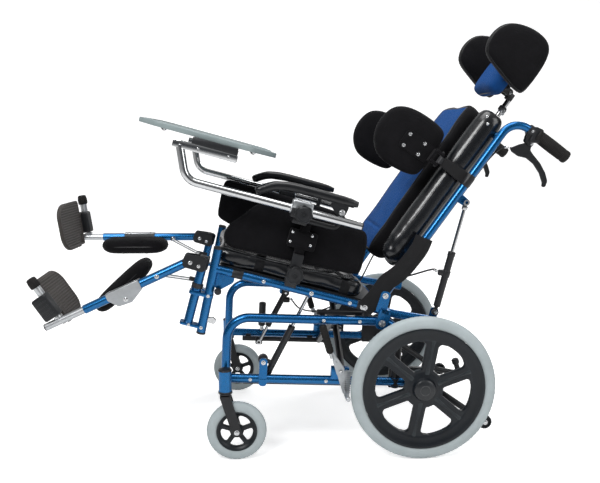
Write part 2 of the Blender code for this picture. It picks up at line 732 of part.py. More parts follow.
def seat_side(side):
    """Rail, front post, plates and brackets of one side of the seat frame."""
    x = side * SEAT_X
    front = SEAT_FRONT_U
    solids = [
        rod(SEAT, [(x, -front, SEAT_RAIL_B), (x, 0, SEAT_RAIL_B), (x, 0.033, SEAT_RAIL_B),
                   (x, 0.134, 0.039), (x, SEAT_REAR_U, 0.040)], SEAT_TUBE),
        rod(SEAT, [(x, -0.486, 0.090), (x, -0.474, -0.153)], HANGER_POST_TUBE),
        slab(SEAT, [(-0.400, SEAT_RAIL_B - 0.004), (-0.476, SEAT_RAIL_B - 0.004), (-0.472, -0.040)],
             x - 0.0025, x + 0.0025),
    ]
    # Tilt plate beside the base rail, on a spacer from the seat rail
    near, far = sorted((side * 0.2455, side * 0.2636))
    solids.append(block(SEAT, ((near + far) / 2, 0, 0.033), (far - near, 0.024, 0.016)))
    low, high = sorted((side * 0.2586, side * 0.2636))
    solids.append(slab(SEAT, [(-0.017, -0.017), (0.017, -0.017), (0.017, 0.040), (-0.017, 0.040)],
                       low, high, bend=0.008))
    # Recline plate outside the back tube
    low, high = sorted((side * 0.2532, side * 0.2582))
    solids.append(block(SEAT, (side * 0.2480, -RECLINE_U, 0.033), (0.016, 0.030, 0.012)))
    solids.append(slab(SEAT, [(-RECLINE_U - 0.016, 0.026), (-RECLINE_U + 0.016, 0.026),
                              (-RECLINE_U + 0.013, RECLINE_B + 0.013),
                              (-RECLINE_U - 0.013, RECLINE_B + 0.013)], low, high, bend=0.008))
    solids.append(rod(SEAT, [(side * 0.2555, -RECLINE_U, RECLINE_B),
                             (side * 0.2290, -RECLINE_U, RECLINE_B)], 0.0045))
    solids.append(rod(SEAT, [(side * 0.2560, -RECLINE_U, RECLINE_B),
                             (side * 0.2625, -RECLINE_U, RECLINE_B)], 0.008))
    # Ear and pin of the recline strut, on the rear extension
    y, z = RECLINE_FOOT
    low, high = sorted((side * 0.2295, side * 0.2335))
    solids.append(slab(SEAT, [(y - 0.012, 0.036), (y + 0.012, 0.036), (y + 0.011, z + 0.011),
                              (y - 0.011, z + 0.011)], low, high, bend=0.005))
    solids.append(rod(SEAT, [(side * 0.2315, y, z), (side * 0.2500, y, z)], STRUT_PIN))
    # Socket of the arm post
    solids.append(block(SEAT, (side * 0.2370, -ARM_POST_U, 0.058), (0.030, 0.034, 0.056)))
    # Brackets that hold the leg hanger
    for b, thick, tip in ((-0.045, 0.010, 0.018), (HANGER_LOW - 0.0045, 0.008, 0.022)):
        near, far = side * (LEG_X - HANGER_BRACKET_HALF), side * (LEG_X + HANGER_BRACKET_HALF)
        solids.append(slab(SEAT, [(far, -0.466), (far, -HANGER_U - tip), (near, -HANGER_U - tip),
                                  (near, -0.466)],
                           b - thick / 2, b + thick / 2, axis="Z", bend=0.004))
    solids.append(rod(SEAT, [(x, -0.458, -0.025), (side * 0.2650, -0.458, -0.025)], 0.0095))
    solids.append(block(SEAT, (x, -0.455, -0.112), (0.012, 0.030, 0.010), turn=radians(-12)))
    cuts = [bore(SEAT, [(side * LEG_X, -HANGER_U, -0.060), (side * LEG_X, -HANGER_U, -0.030)],
                 HANGER_TUBE + PIN_PLAY),
            bore(SEAT, [(side * 0.2500, 0, 0), (side * 0.2700, 0, 0)], TILT_BOLT + PIN_PLAY)]
    return solids, cuts


def seat_frame():
    solids, cuts = [], []
    for side, _ in SIDES:
        more, holes = seat_side(side)
        solids += more
        cuts += holes
    for u in (0.020, 0.440):
        solids.append(rod(SEAT, [(-SEAT_X, -u, 0.029), (SEAT_X, -u, 0.029)], 0.009))
    board = [(-BOARD_HALF, -0.470), (BOARD_HALF, -0.470), (BOARD_HALF, -0.012), (-BOARD_HALF, -0.012)]
    solids.append(slab(SEAT, board, BOARD_LOW, BOARD_HIGH, axis="Z", bend=0.015))
    # Left strut bolt head, and the plate on the right that carries the other strut
    u, b = LEFT_HEAD
    solids.append(rod(SEAT, [(SEAT_X, -u, b), (SEAT_X + 0.0150, -u, b)], 0.006))
    u, b = RIGHT_HEAD
    plate = [(-u - 0.024, 0.035), (-u - 0.020, b - 0.010), (-u + 0.012, b - 0.012), (-u + 0.024, 0.035)]
    solids.append(slab(SEAT, plate, -RIGHT_PLATE_X - 0.005, -RIGHT_PLATE_X, bend=0.006))
    solids.append(block(SEAT, (-0.2270, -u, 0.031), (0.022, 0.040, 0.010)))
    solids.append(rod(SEAT, [(-RIGHT_PLATE_X - 0.003, -u, b), (-RIGHT_STRUT_X + 0.011, -u, b)], STRUT_PIN))
    piece("seat_frame", join(solids, cuts, "MANIFOLD"), "blue", SEAT)


def seat_cushion():
    half, waist = CUSHION_HALF, CUSHION_HALF - 0.006
    outline = [(-half, -CUSHION_FRONT), (-half * 0.5, -CUSHION_FRONT - 0.004), (0, -CUSHION_FRONT),
               (half * 0.5, -CUSHION_FRONT - 0.004), (half, -CUSHION_FRONT), (waist, -0.360),
               (half, -0.275), (waist, -0.180), (half, -CUSHION_REAR), (half * 0.5, -CUSHION_REAR),
               (-half * 0.5, -CUSHION_REAR), (-half, -CUSHION_REAR), (-waist, -0.180), (-half, -0.275),
               (-waist, -0.360)]
    low = BOARD_HIGH + SEAT_GAP
    cushion = pillow(SEAT, outline, low, CUSHION_HIGH, axis="Z", soft=0.78)
    piece("seat_cushion", cushion, "leather", SEAT)


# Arms

ARM_PIVOT = (0.193, 0.268)
ARM_BAR_X = 0.266
STAR_KNOB = 0.0235


def star(frame, centre, radius, width, lobes=5):
    """Clamp knob with flat-topped lobes, about a lateral axis."""
    x, y, z = centre
    outline = []
    for k in range(lobes):
        for share, r in ((-0.17, radius), (0.17, radius), (0.5, radius * 0.80)):
            across, up = polar(r, 2 * pi * (k + share) / lobes)
            outline.append((y + across, z + up))
    return slab(frame, outline, x - width / 2, x + width / 2)


def arm_support(side, word):
    u = ARM_POST_U
    low, high = sorted((side * 0.2230, side * 0.2500))
    post_low = 0.0863 + SEAT_GAP
    solids = [block(SEAT, ((low + high) / 2, -u, (post_low + 0.235) / 2),
                    (high - low, 2 * ARM_POST_HALF, 0.235 - post_low))]
    solids.append(block(SEAT, (side * 0.2370, -u, 0.166), (0.0275, 0.078, 0.050)))
    solids.append(block(SEAT, (side * 0.2545, -u, 0.092), (0.0045, 0.030, 0.070)))
    solids.append(block(SEAT, (side * 0.2515, -u, 0.105), (0.0060, 0.024, 0.030)))
    solids.append(rod(SEAT, [(side * 0.2540, -0.270, 0.072), (side * 0.2690, -0.270, 0.072)], 0.010))
    solids.append(star(SEAT, (side * 0.2740, -0.270, 0.072), STAR_KNOB, 0.014))
    # Clamp on the tray tube
    solids.append(block(SEAT, (side * 0.2650, -0.298, 0.2200), (0.060, 0.040, 0.0200)))
    solids.append(block(SEAT, (side * TRAY_TUBE_X, -0.3015, TRAY_TUBE_B + 0.002), (0.030, 0.056, 0.046)))
    solids.append(rod(SEAT, [(side * 0.3120, -0.296, 0.241), (side * 0.3200, -0.296, 0.241)], 0.010))
    solids.append(star(SEAT, (side * 0.3250, -0.296, 0.241), STAR_KNOB, 0.014))
    # Bar that carries the arm pad's pivot
    x = side * ARM_BAR_X
    solids.append(rod(SEAT, [(x, -0.300, 0.2220), (x, -ARM_PIVOT[0], 0.2220), (x, -ARM_PIVOT[0], ARM_PIVOT[1])],
                      0.0070, 0.014))
    reach = side * (ARM_BAR_X + 0.0190)
    solids.append(rod(SEAT, [(x, -ARM_PIVOT[0], ARM_PIVOT[1]), (reach, -ARM_PIVOT[0], ARM_PIVOT[1])], 0.0040))
    cut = sleeve(SEAT, [(side * TRAY_TUBE_X, -0.20, TRAY_TUBE_B), (side * TRAY_TUBE_X, -0.40, TRAY_TUBE_B)],
                 TRAY_TUBE)
    piece("arm_support_" + word, join(solids, [cut], "MANIFOLD"), "black", SEAT)


ARM_PAD_X = 0.267
ARM_PAD_HALF = 0.0175
ARM_PAD_PATH = ((0.155, 0.299), (0.317, 0.299), (0.370, 0.2935), (0.394, 0.285), (0.429, 0.263))
ARM_PAD_THICK = 0.011


def armrest_pad(side, word):
    solid = swept_pad(SEAT, side * ARM_PAD_X, [(-u, b) for u, b in ARM_PAD_PATH],
                      ARM_PAD_HALF, ARM_PAD_THICK)
    low, high = sorted((side * (ARM_BAR_X + 0.0085), side * (ARM_BAR_X + 0.0145)))
    y, z = -ARM_PIVOT[0], ARM_PIVOT[1]
    lug = slab(SEAT, [(y - 0.050, 0.292), (y - 0.012, z - 0.009), (y + 0.010, z - 0.009), (y + 0.016, 0.292)],
               low, high, bend=0.006)
    hole = bore(SEAT, [(side * ARM_BAR_X, y, z), (side * 0.295, y, z)], 0.0040 + PIN_PLAY)
    piece("armrest_pad_" + word, join([solid, lug], [hole]), "black",
          SEAT @ Matrix.Translation((side * ARM_PAD_X, y, z)))


def swept_pad(frame, x, path, half, thick):
    """Arm pad: a rounded section carried along a path, narrowed at both ends."""
    points = [Vector((0, y, z)) for y, z in path]
    last = len(points) - 1
    section = [(1.0, -1.0), (1.06, 0.3), (0.62, 1.1), (-0.62, 1.1), (-1.06, 0.3), (-1.0, -1.0)]
    stations = [(0, 0.0, 0.86)] + [(i, 0.0, 1.0) for i in range(last + 1)] + [(last, 0.0, 0.86)]
    stations[1] = (0, 0.006, 1.0)
    stations[-2] = (last, -0.006, 1.0)
    rings = []
    for i, shift, grow in stations:
        along = (points[min(i + 1, last)] - points[max(i - 1, 0)]).normalized()
        up = Vector((0, along.z, -along.y))
        middle = points[i] + along * shift + Vector((x, 0, 0))
        rings.append([middle + Vector((a * half * grow, 0, 0)) + up * (b * thick * grow)
                      for a, b in section])
    return loft(frame, rings)


GUARD_X = (0.1950, 0.2232)


def side_guard(side, word):
    front = [(-0.482, 0.110), (-0.483, 0.138), (-0.470, 0.163), (-0.445, 0.190), (-0.405, 0.236)]
    if side < 0:
        # The right guard is the deeper one at the front
        front = [(-0.484, 0.111), (-0.512, 0.118), (-0.519, 0.236), (-0.508, 0.247), (-0.440, 0.246)]
    outline = front + [(-0.320, 0.246), (-0.200, 0.240), (-0.100, 0.232), (-0.092, 0.170), (-0.100, 0.108),
                       (-0.290, 0.106)]
    low, high = sorted((side * GUARD_X[0], side * GUARD_X[1]))
    piece("side_guard_" + word, pillow(SEAT, outline, low, high, soft=0.90), "leather", SEAT)


# Tray

def tray_support(side, word):
    x = side * TRAY_TUBE_X
    tube = rod(SEAT, [(x, -0.134, TRAY_TUBE_B), (x, -0.612, TRAY_TUBE_B), (x, -0.649, TRAY_RAIL_B)],
               TRAY_TUBE, 0.045)
    rail = block(SEAT, (x, -0.5825, TRAY_RAIL_B), (TRAY_RAIL, 0.169, TRAY_RAIL))
    runner_low = TRAY_RAIL_B + TRAY_RAIL / 2 - 0.002
    runner_high = TRAY_BOARD_LOW - SEAT_GAP
    runner = block(SEAT, (side * 0.2830, -0.560, (runner_low + runner_high) / 2),
                   (0.046, 0.120, runner_high - runner_low))
    piece("tray_support_" + word, join([tube, rail, runner]), "chrome", SEAT)


def tray_board():
    front, rear = 0.770, 0.401
    outline = [(-0.225, -front), (0.225, -front), (TRAY_HALF, -0.721), (TRAY_HALF, -0.466), (0.225, -rear),
               (0.120, -rear), (0.085, -0.460), (-0.085, -0.460), (-0.120, -rear), (-0.225, -rear),
               (-TRAY_HALF, -0.466), (-TRAY_HALF, -0.721)]
    bends = [0.03, 0.03, 0.03, 0.03, 0.03, 0.02, 0.03, 0.03, 0.02, 0.03, 0.03, 0.03]
    board = slab(SEAT, outline, TRAY_BOARD_LOW, TRAY_BOARD_LOW + TRAY_BOARD_THICK, axis="Z", bend=bends)
    piece("tray_board", board, "board", SEAT)


# Back

TRUNK_S = 0.387
TRUNK_HINGE = (0.2385, 0.100)
HEAD_STEM_T = -0.024
HEAD_STEM_RADIUS = 0.008
HEAD_TILT = (0.700, -0.010)
LEVER_PIVOT = (0.568, -0.082)


def back_frame():
    solids, cuts = [], []
    for side, _ in SIDES:
        x = side * SEAT_X
        solids.append(rod(BACK, [(x, -0.012, 0), (x, BACK_TOP, 0), (x, BACK_TOP + 0.001, -HANDLE_END + 0.010)],
                          BACK_TUBE, BACK_BEND))
        cuts.append(bore(BACK, [(side * 0.22, 0, 0), (side * 0.26, 0, 0)], 0.0045 + PIN_PLAY))
        # Ear of the recline strut
        low, high = sorted((side * 0.2295, side * 0.2335))
        s, t = RECLINE_EAR
        solids.append(slab(BACK, [(s - 0.014, 0.002), (s - 0.010, t - 0.011), (s + 0.010, t - 0.011),
                                  (s + 0.014, 0.002)], low, high, bend=0.004))
        # Arm of the trunk pad, clear of the padded roll
        hinge_x, hinge_t = TRUNK_HINGE
        low, high = sorted((side * 0.2330, side * 0.2440))
        solids.append(slab(BACK, [(TRUNK_S - 0.019, -0.014), (TRUNK_S + 0.019, -0.014),
                                  (TRUNK_S + 0.010, hinge_t - 0.012), (TRUNK_S - 0.010, hinge_t - 0.012)],
                           low, high, bend=0.005))
        solids.append(rod(BACK, [(side * hinge_x, TRUNK_S - 0.010, hinge_t - 0.006),
                                 (side * hinge_x, TRUNK_S + 0.010, hinge_t - 0.006)], 0.0075))
        solids.append(rod(BACK, [(side * hinge_x, TRUNK_S - 0.024, hinge_t),
                                 (side * hinge_x, TRUNK_S + 0.024, hinge_t)], 0.0035))
        # Clamp of the hand lever
        s, t = LEVER_PIVOT
        solids.append(rod(BACK, [(x, BACK_TOP + 0.0003, t + 0.030), (x, BACK_TOP + 0.0004, t + 0.012)], 0.0155))
        for lateral in (-1, 1):
            low, high = sorted((x + lateral * 0.0055, x + lateral * 0.0095))
            solids.append(slab(BACK, [(BACK_TOP - 0.004, t + 0.028), (BACK_TOP - 0.004, t + 0.012),
                                      (s - 0.004, t - 0.006), (s - 0.009, t + 0.004), (s - 0.004, t + 0.020)],
                               low, high, bend=0.003))
        solids.append(rod(BACK, [(x - 0.0090, s, t), (x + 0.0090, s, t)], 0.0030))
    for s, t in ((0.130, 0), (0.535, 0)):
        solids.append(rod(BACK, [(-SEAT_X, s, t), (SEAT_X, s, t)], 0.010))
    solids.append(block(BACK, (0, 0.545, HEAD_STEM_T), (0.052, 0.070, 0.030)))
    cuts.append(sleeve(BACK, [(0, 0.49, HEAD_STEM_T), (0, 0.60, HEAD_STEM_T)], HEAD_STEM_RADIUS))
    piece("back_frame", join(solids, cuts, "MANIFOLD"), "blue", BACK)


SLING_BACK = 0.0094


def back_cushion():
    """Sling with padded side rolls and a raised middle cushion, drawn in at both ends."""
    section = [(0.148, 0.0930), (0.160, 0.0690), (0.176, 0.0760), (0.208, 0.0750), (0.2275, 0.0520),
               (0.2200, SLING_BACK)]
    full = section + [(-a, b) for a, b in reversed(section)]
    stations = [(0.082, 0.80), (0.100, 1.0), (0.220, 1.0), (0.340, 1.0), (0.460, 1.0), (0.560, 1.0), (0.580, 0.80)]
    rings = []
    for s, swell in stations:
        ring = []
        for a, t in full:
            depth = SLING_BACK + (t - SLING_BACK) * swell
            ring.append(Vector((a * (1.0 if swell > 0.9 else 0.96), s, depth)))
        rings.append(ring)
    piece("back_cushion", loft(BACK, rings), "fabric", BACK)


def push_grip(side, word):
    x = side * SEAT_X
    s = BACK_TOP + 0.001
    body = rod(BACK, [(x, s, -GRIP_START), (x, s, -HANDLE_END)], GRIP_RADIUS)
    flare = rod(BACK, [(x, s, -GRIP_START), (x, s, -GRIP_START - 0.006)], GRIP_RADIUS + 0.003)
    hole = bore(BACK, [(x, s, -GRIP_START + 0.01), (x, s, -HANDLE_END + 0.0095)],
               BACK_TUBE + 0.0007)
    piece("push_grip_" + word, join([body, flare], [hole]), "grip", BACK)


def hand_lever(side, word):
    x = side * SEAT_X
    s, t = LEVER_PIVOT
    eye = disc(BACK, (x, s, t), 0.007, 0.0098)
    blade = slab(BACK, [(s + 0.006, t - 0.002), (s + 0.001, t + 0.008), (s - 0.020, t + 0.026),
                        (s - 0.042, t + 0.040), (s - 0.048, t + 0.032), (s - 0.047, t + 0.008),
                        (s - 0.038, t - 0.013), (s - 0.039, t - 0.039), (s - 0.049, t - 0.068),
                        (s - 0.065, t - 0.092), (s - 0.075, t - 0.097), (s - 0.070, t - 0.106),
                        (s - 0.053, t - 0.101), (s - 0.038, t - 0.081), (s - 0.026, t - 0.054),
                        (s - 0.019, t - 0.024), (s - 0.014, t - 0.008), (s - 0.004, t - 0.006)],
                 x - 0.0046, x + 0.0046, bend=0.004)
    hole = bore(BACK, [(x - 0.02, s, t), (x + 0.02, s, t)], 0.0030 + PIN_PLAY)
    piece("hand_lever_" + word, join([eye, blade], [hole]), "black",
          BACK @ Matrix.Translation((x, s, t)))


def recline_strut(side, word):
    x = side * SEAT_X
    foot = SEAT @ Vector((x, RECLINE_FOOT[0], RECLINE_FOOT[1]))
    head = BACK @ Vector((x, RECLINE_EAR[0], RECLINE_EAR[1]))
    up = strut_axis(foot, head)
    barrel = 0.176
    cylinder = rod(WORLD, [foot + up * 0.0165, foot + up * barrel], 0.010)
    neck = rod(WORLD, [foot + up * 0.0060, foot + up * 0.0200], 0.0055)
    boss = disc(WORLD, foot, 0.0095, 0.012)
    rear = Vector((0, up.z, -up.y))
    release = block(WORLD, foot + up * 0.112 - rear * 0.014, (0.014, 0.018, 0.016))
    hole = bore(WORLD, [foot + up * 0.024, foot + up * (barrel + 0.01)], STRUT_ROD + PIN_PLAY)
    pin = bore(WORLD, [foot - Vector((0.02, 0, 0)), foot + Vector((0.02, 0, 0))], STRUT_PIN + PIN_PLAY)
    solids = [cylinder, neck, boss] + ([release] if side > 0 else [])
    piece("recline_cylinder_" + word, join(solids, [hole, pin]), "black", level_at(foot))
    bar = rod(WORLD, [foot + up * 0.106, head - up * 0.004], STRUT_ROD)
    eye_disc = disc(WORLD, head, 0.009, 0.012)
    clevis = block(WORLD, head - up * 0.014, (0.012, 0.014, 0.014), turn=atan2(up.z, up.y))
    piece("recline_rod_" + word, join([bar, eye_disc, clevis]), "silver", level_at(head))


def trunk_pad(side, word):
    hinge_x, hinge_t = TRUNK_HINGE
    outline = [(0.322, 0.268), (0.374, 0.291), (0.437, 0.280), (0.467, 0.222), (0.468, 0.130), (0.430, 0.108),
               (0.340, 0.108), (0.308, 0.130), (0.296, 0.220)]
    low, high = sorted((side * 0.1680, side * 0.2160))
    pad = pillow(BACK, outline, low, high, soft=0.80)
    plate_low, plate_high = sorted((side * 0.2140, side * 0.2185))
    plate = slab(BACK, [(TRUNK_S - 0.017, 0.118), (TRUNK_S + 0.017, 0.118), (TRUNK_S + 0.020, 0.215),
                        (TRUNK_S - 0.020, 0.215)], plate_low, plate_high, bend=0.006)
    bridge = block(BACK, (side * 0.2290, TRUNK_S, hinge_t + 0.0190), (0.0265, 0.040, 0.008))
    knuckles = [block(BACK, (side * hinge_x, TRUNK_S + end * 0.0155, hinge_t + 0.0065), (0.014, 0.009, 0.027))
                for end in (-1, 1)]
    hole = bore(BACK, [(side * hinge_x, TRUNK_S - 0.04, hinge_t), (side * hinge_x, TRUNK_S + 0.04, hinge_t)],
               0.0035 + PIN_PLAY)
    piece("trunk_pad_" + word, join([pad, plate, bridge] + knuckles, [hole], "MANIFOLD"), "leather",
          BACK @ Matrix.Translation((side * hinge_x, TRUNK_S, hinge_t)))


HEAD_PAD_T = (0.018, 0.078)
WING_HINGE = (0.1035, 0.0120)
WING_S = 0.715
WING_PIN = 0.0025


def head_stem():
    s, t = HEAD_TILT
    stem = rod(BACK, [(0, 0.500, HEAD_STEM_T), (0, s, HEAD_STEM_T)], HEAD_STEM_RADIUS)
    neck = block(BACK, (0, s - 0.006, HEAD_STEM_T + 0.004), (0.018, 0.024, 0.022))
    pin = rod(BACK, [(-0.019, s, t), (0.019, s, t)], 0.0045)
    knuckle = disc(BACK, (0, s, t), 0.009, 0.016)
    lever = rod(BACK, [(0, 0.648, HEAD_STEM_T), (0.030, 0.642, HEAD_STEM_T), (0.040, 0.630, HEAD_STEM_T)],
                0.0045, 0.006)
    piece("head_stem", join([stem, neck, pin, knuckle, lever]), "silver", BACK)


def head_pad():
    s, t = HEAD_TILT
    outline = [(-0.088, 0.659), (0, 0.655), (0.088, 0.659), (0.098, 0.720), (0.086, 0.796), (0, 0.808),
               (-0.086, 0.796), (-0.098, 0.720)]
    pad = pillow(BACK, outline, HEAD_PAD_T[0], HEAD_PAD_T[1], axis="Z", soft=0.80)
    plate = block(BACK, (0, WING_S, HEAD_PAD_T[0] - 0.0005), (0.150, 0.050, 0.007))
    ears, cuts = [], []
    for end in (-1, 1):
        ears.append(slab(BACK, [(s - 0.010, t - 0.009), (s + 0.012, t - 0.009), (s + 0.012, HEAD_PAD_T[0]),
                                (s - 0.010, HEAD_PAD_T[0])],
                         end * 0.0130 - 0.0028, end * 0.0130 + 0.0028, bend=0.004))
    cuts.append(bore(BACK, [(-0.03, s, t), (0.03, s, t)], 0.0045 + PIN_PLAY))
    x, wing_t = WING_HINGE
    for end in (-1, 1):
        ears.append(block(BACK, (end * (0.070 + x) / 2, WING_S, wing_t), (x - 0.070, 0.020, 0.006)))
        ears.append(rod(BACK, [(end * x, WING_S - 0.010, wing_t), (end * x, WING_S + 0.010, wing_t)], 0.0055))
        cuts.append(bore(BACK, [(end * x, WING_S - 0.02, wing_t), (end * x, WING_S + 0.02, wing_t)],
                         WING_PIN + PIN_PLAY, BOLT_SIDES))
    piece("head_pad", join([pad, plate] + ears, cuts, "MANIFOLD"), "fabric",
          BACK @ Matrix.Translation((0, s, t)))


def head_wing(side, word):
    outline = [(0.716, 0.150), (0.770, 0.168), (0.822, 0.146), (0.851, 0.080), (0.847, 0.018), (0.800, -0.012),
               (0.700, -0.014), (0.680, 0.010), (0.694, 0.085)]
    low, high = sorted((side * 0.110, side * 0.156))
    wing = pillow(BACK, outline, low, high, soft=0.80)
    x, t = WING_HINGE
    hinge = [rod(BACK, [(side * x, WING_S - 0.018, t), (side * x, WING_S + 0.018, t)], WING_PIN)]
    for end in (-1, 1):
        hinge.append(block(BACK, (side * (x + 0.0060), WING_S + end * 0.0145, t), (0.019, 0.008, 0.009)))
    piece("head_wing_" + word, join([wing] + hinge, solver="MANIFOLD"), "black",
          BACK @ Matrix.Translation((side * x, WING_S, t)))


# Legs

def leg_frame(side):
    pivot = SEAT @ Vector((side * LEG_X, -LEG_PIVOT_U, LEG_PIVOT_B))
    return level_at(pivot) @ Matrix.Rotation(LEG_DROP[side], 4, "X")


def leg_hanger(side, word):
    x = side * LEG_X
    u, b = LEG_PIVOT_U, LEG_PIVOT_B
    solids = [rod(SEAT, [(x, -HANGER_U, HANGER_LOW), (x, -HANGER_U, b + 0.022)], HANGER_TUBE)]
    for lateral in (-1, 1):
        low, high = sorted((x + lateral * 0.0135, x + lateral * 0.0175))
        solids.append(slab(SEAT, [(-HANGER_U - 0.006, b - 0.016), (-u - 0.016, b - 0.012), (-u - 0.020, b),
                                  (-u - 0.016, b + 0.014), (-HANGER_U - 0.006, b + 0.020)],
                           low, high, bend=0.004))
    solids.append(block(SEAT, (x, -HANGER_U - 0.0085, b + 0.002), (0.034, 0.0090, 0.034)))
    solids.append(rod(SEAT, [(x - 0.0165, -u, b), (x + 0.0165, -u, b)], 0.0045))
    for lateral in (-1, 1):
        solids.append(rod(SEAT, [(x + lateral * 0.0165, -u, b), (x + lateral * 0.0200, -u, b)], 0.0080))
    # Guide of the leg link, on the inner side of the hanger
    solids.append(block(SEAT, (x - side * 0.0138, -HANGER_U - 0.012, -0.015), (0.0060, 0.030, 0.012)))
    piece("leg_hanger_" + word, join(solids), "blue", SEAT @ Matrix.Translation((x, -HANGER_U, 0)))


LINK_LEG = (0.088, -0.004)
CALF_PIVOT = (0.200, -0.020)
CALF_ARM = 0.006


def leg_tube(side, word):
    leg = leg_frame(side)
    tube = rod(leg, [(0, 0.004, 0), (0, -LEG_LENGTH, 0)], LEG_TUBE)
    knuckle = disc(leg, (0, 0, 0), LEG_TUBE, 0.0255)
    channel = block(leg, (0, -0.197, -0.003), (0.031, 0.098, 0.034), turn=0)
    bolt = rod(leg, [(side * 0.0150, -CALF_PIVOT[0], CALF_PIVOT[1]),
                     (side * 0.0195, -CALF_PIVOT[0], CALF_PIVOT[1])], 0.0065)
    flange = block(leg, (0, -0.197, -0.024), (0.031, 0.060, 0.018))
    arm = rod(leg, [(0, -CALF_PIVOT[0], CALF_PIVOT[1]), (-side * 0.0430, -CALF_PIVOT[0], CALF_PIVOT[1])],
              CALF_ARM)
    link_pin = rod(leg, [(0, -LINK_LEG[0], LINK_LEG[1]), (-side * 0.0225, -LINK_LEG[0], LINK_LEG[1])], 0.0035)
    hole = sleeve(leg, [(0, -0.160, 0), (0, -LEG_LENGTH - 0.01, 0)], EXTENSION_TUBE)
    solid = join([tube, knuckle, channel, bolt, flange, arm, link_pin],
                 [hole, bore(leg, [(-0.03, 0, 0), (0.03, 0, 0)], 0.0045 + PIN_PLAY)], "MANIFOLD")
    piece("leg_tube_" + word, solid, "blue", leg)


def leg_link(side, word):
    leg = leg_frame(side)
    start = leg @ Vector((0, -LINK_LEG[0], LINK_LEG[1]))
    target = SEAT @ Vector((side * LEG_X, -0.534, -0.015))
    along = strut_axis(start, target)
    x = -side * 0.0195
    frame = level_at(start + Vector((x, 0, 0)))
    end = along * 0.093
    bar = rod(frame, [(0, 0, 0), end], 0.0022)
    second = rod(frame, [(0, along.z * 0.006, -along.y * 0.006),
                         end + Vector((0, along.z * 0.006, -along.y * 0.006))], 0.0022)
    eye = disc(frame, (0, 0, 0), 0.0085, 0.0040)
    bridge = block(frame, end + Vector((0, along.z * 0.003, -along.y * 0.003)), (0.0040, 0.010, 0.014),
                   turn=atan2(along.z, along.y))
    hole = bore(frame, [(-0.01, 0, 0), (0.01, 0, 0)], 0.0035 + PIN_PLAY)
    piece("leg_link_" + word, join([eye, bar, second, bridge], [hole]), "silver", frame)


def foot_frame(side):
    """On the footplate's pin: z runs up the pin, y away from the toes."""
    return frame_at(leg_frame(side), (0, -FOOT_PIN_L[side], 0), FOOT_PIN_LEAN)


FOOT_PIN = 0.007
FOOT_CAST_LOW = 0.0165
FOOT_CAST_HIGH = 0.085
FOOT_PIN_TOP = 0.137


def foot_extension(side, word):
    leg = leg_frame(side)
    foot = foot_frame(side)
    solids = [
        rod(leg, [(0, -EXTENSION_START, 0), (0, -FOOT_PIN_L[side] - EXTENSION_TAIL, 0)], EXTENSION_TUBE),
        rod(foot, [(0, 0, 0), (0, 0, FOOT_PIN_TOP)], FOOT_PIN),
        rod(foot, [(0, 0, 0.110), (0, 0, FOOT_PIN_TOP + 0.002)], 0.014),
        rod(foot, [(0, 0, FOOT_CAST_HIGH + SEAT_GAP), (0, 0, 0.1105)], 0.0105),
    ]
    piece("foot_extension_" + word, join(solids), "silver", leg)


def footplate(side, word):
    foot = foot_frame(side) @ Matrix.Rotation(side * FOOT_FLIP[side], 4, "Z")
    cast = block(foot, (0, -0.010, (FOOT_CAST_LOW + FOOT_CAST_HIGH) / 2),
                 (0.034, 0.046, FOOT_CAST_HIGH - FOOT_CAST_LOW))
    inward = -side
    plate_low, plate_high = -0.016, -0.006
    outline = [(inward * 0.010, 0.019), (inward * 0.047, 0.019), (inward * 0.052, -0.020),
               (inward * 0.165, -0.020), (inward * 0.165, 0.126), (inward * 0.024, 0.126),
               (inward * 0.024, 0.083), (inward * 0.010, 0.083)]
    turn = foot @ Matrix.Rotation(radians(90), 4, "X")
    plate = slab(turn, outline, -plate_high, -plate_low, axis="Z", bend=[0, 0, 0.004, 0.040, 0.040, 0.006, 0, 0])
    hole = bore(foot, [(0, 0, 0), (0, 0, 0.1)], FOOT_PIN + PIN_PLAY)
    piece("footplate_" + word, join([cast, plate], [hole]), "foot", foot)


def calf_pad(side, word):
    leg = leg_frame(side)
    pivot = Vector((0, -CALF_PIVOT[0], CALF_PIVOT[1]))
    pad_frame = leg @ Matrix.Translation(pivot) @ Matrix.Rotation(CALF_TURN[side], 4, "X")
    outer = -side * (LEG_X - 0.204)
    inner = -side * (LEG_X - 0.098)
    lift = 0.028 if side > 0 else -0.006
    low, high = lift - 0.026, lift + 0.026
    half = 0.100
    x0, x1 = sorted((outer, inner))
    middle = (x0 + x1) / 2
    outline = [(x0, -half * 0.85), (middle, -half), (x1, -half * 0.85), (x1, 0), (x1, half * 0.85),
               (middle, half), (x0, half * 0.85), (x0, 0)]
    pad = pillow(pad_frame, outline, low, high, axis="Z", soft=0.75)
    collar = rod(pad_frame, [(-side * 0.0335, 0, 0), (-side * 0.060, 0, 0)], 0.0105)
    hole = bore(pad_frame, [(0, 0, 0), (-side * 0.0445, 0, 0)], CALF_ARM + PIN_PLAY)
    piece("calf_pad_" + word, join([pad, collar], [hole]), "leather", pad_frame)


# Cables

def smooth_route(points, per_span=2):
    """Points read from a smooth curve through the route's own points."""
    route = [Vector(p) for p in points]
    padded = [route[0] * 2 - route[1]] + route + [route[-1] * 2 - route[-2]]
    out = []
    for a, b, c, d in zip(padded, padded[1:], padded[2:], padded[3:]):
        for k in range(per_span):
            t = k / per_span
            out.append(0.5 * ((2 * b) + (c - a) * t + (2 * a - 5 * b + 4 * c - d) * t * t
                              + (3 * b - a - 3 * c + d) * t ** 3))
    out.append(route[-1])
    return out


CABLE = 0.0025


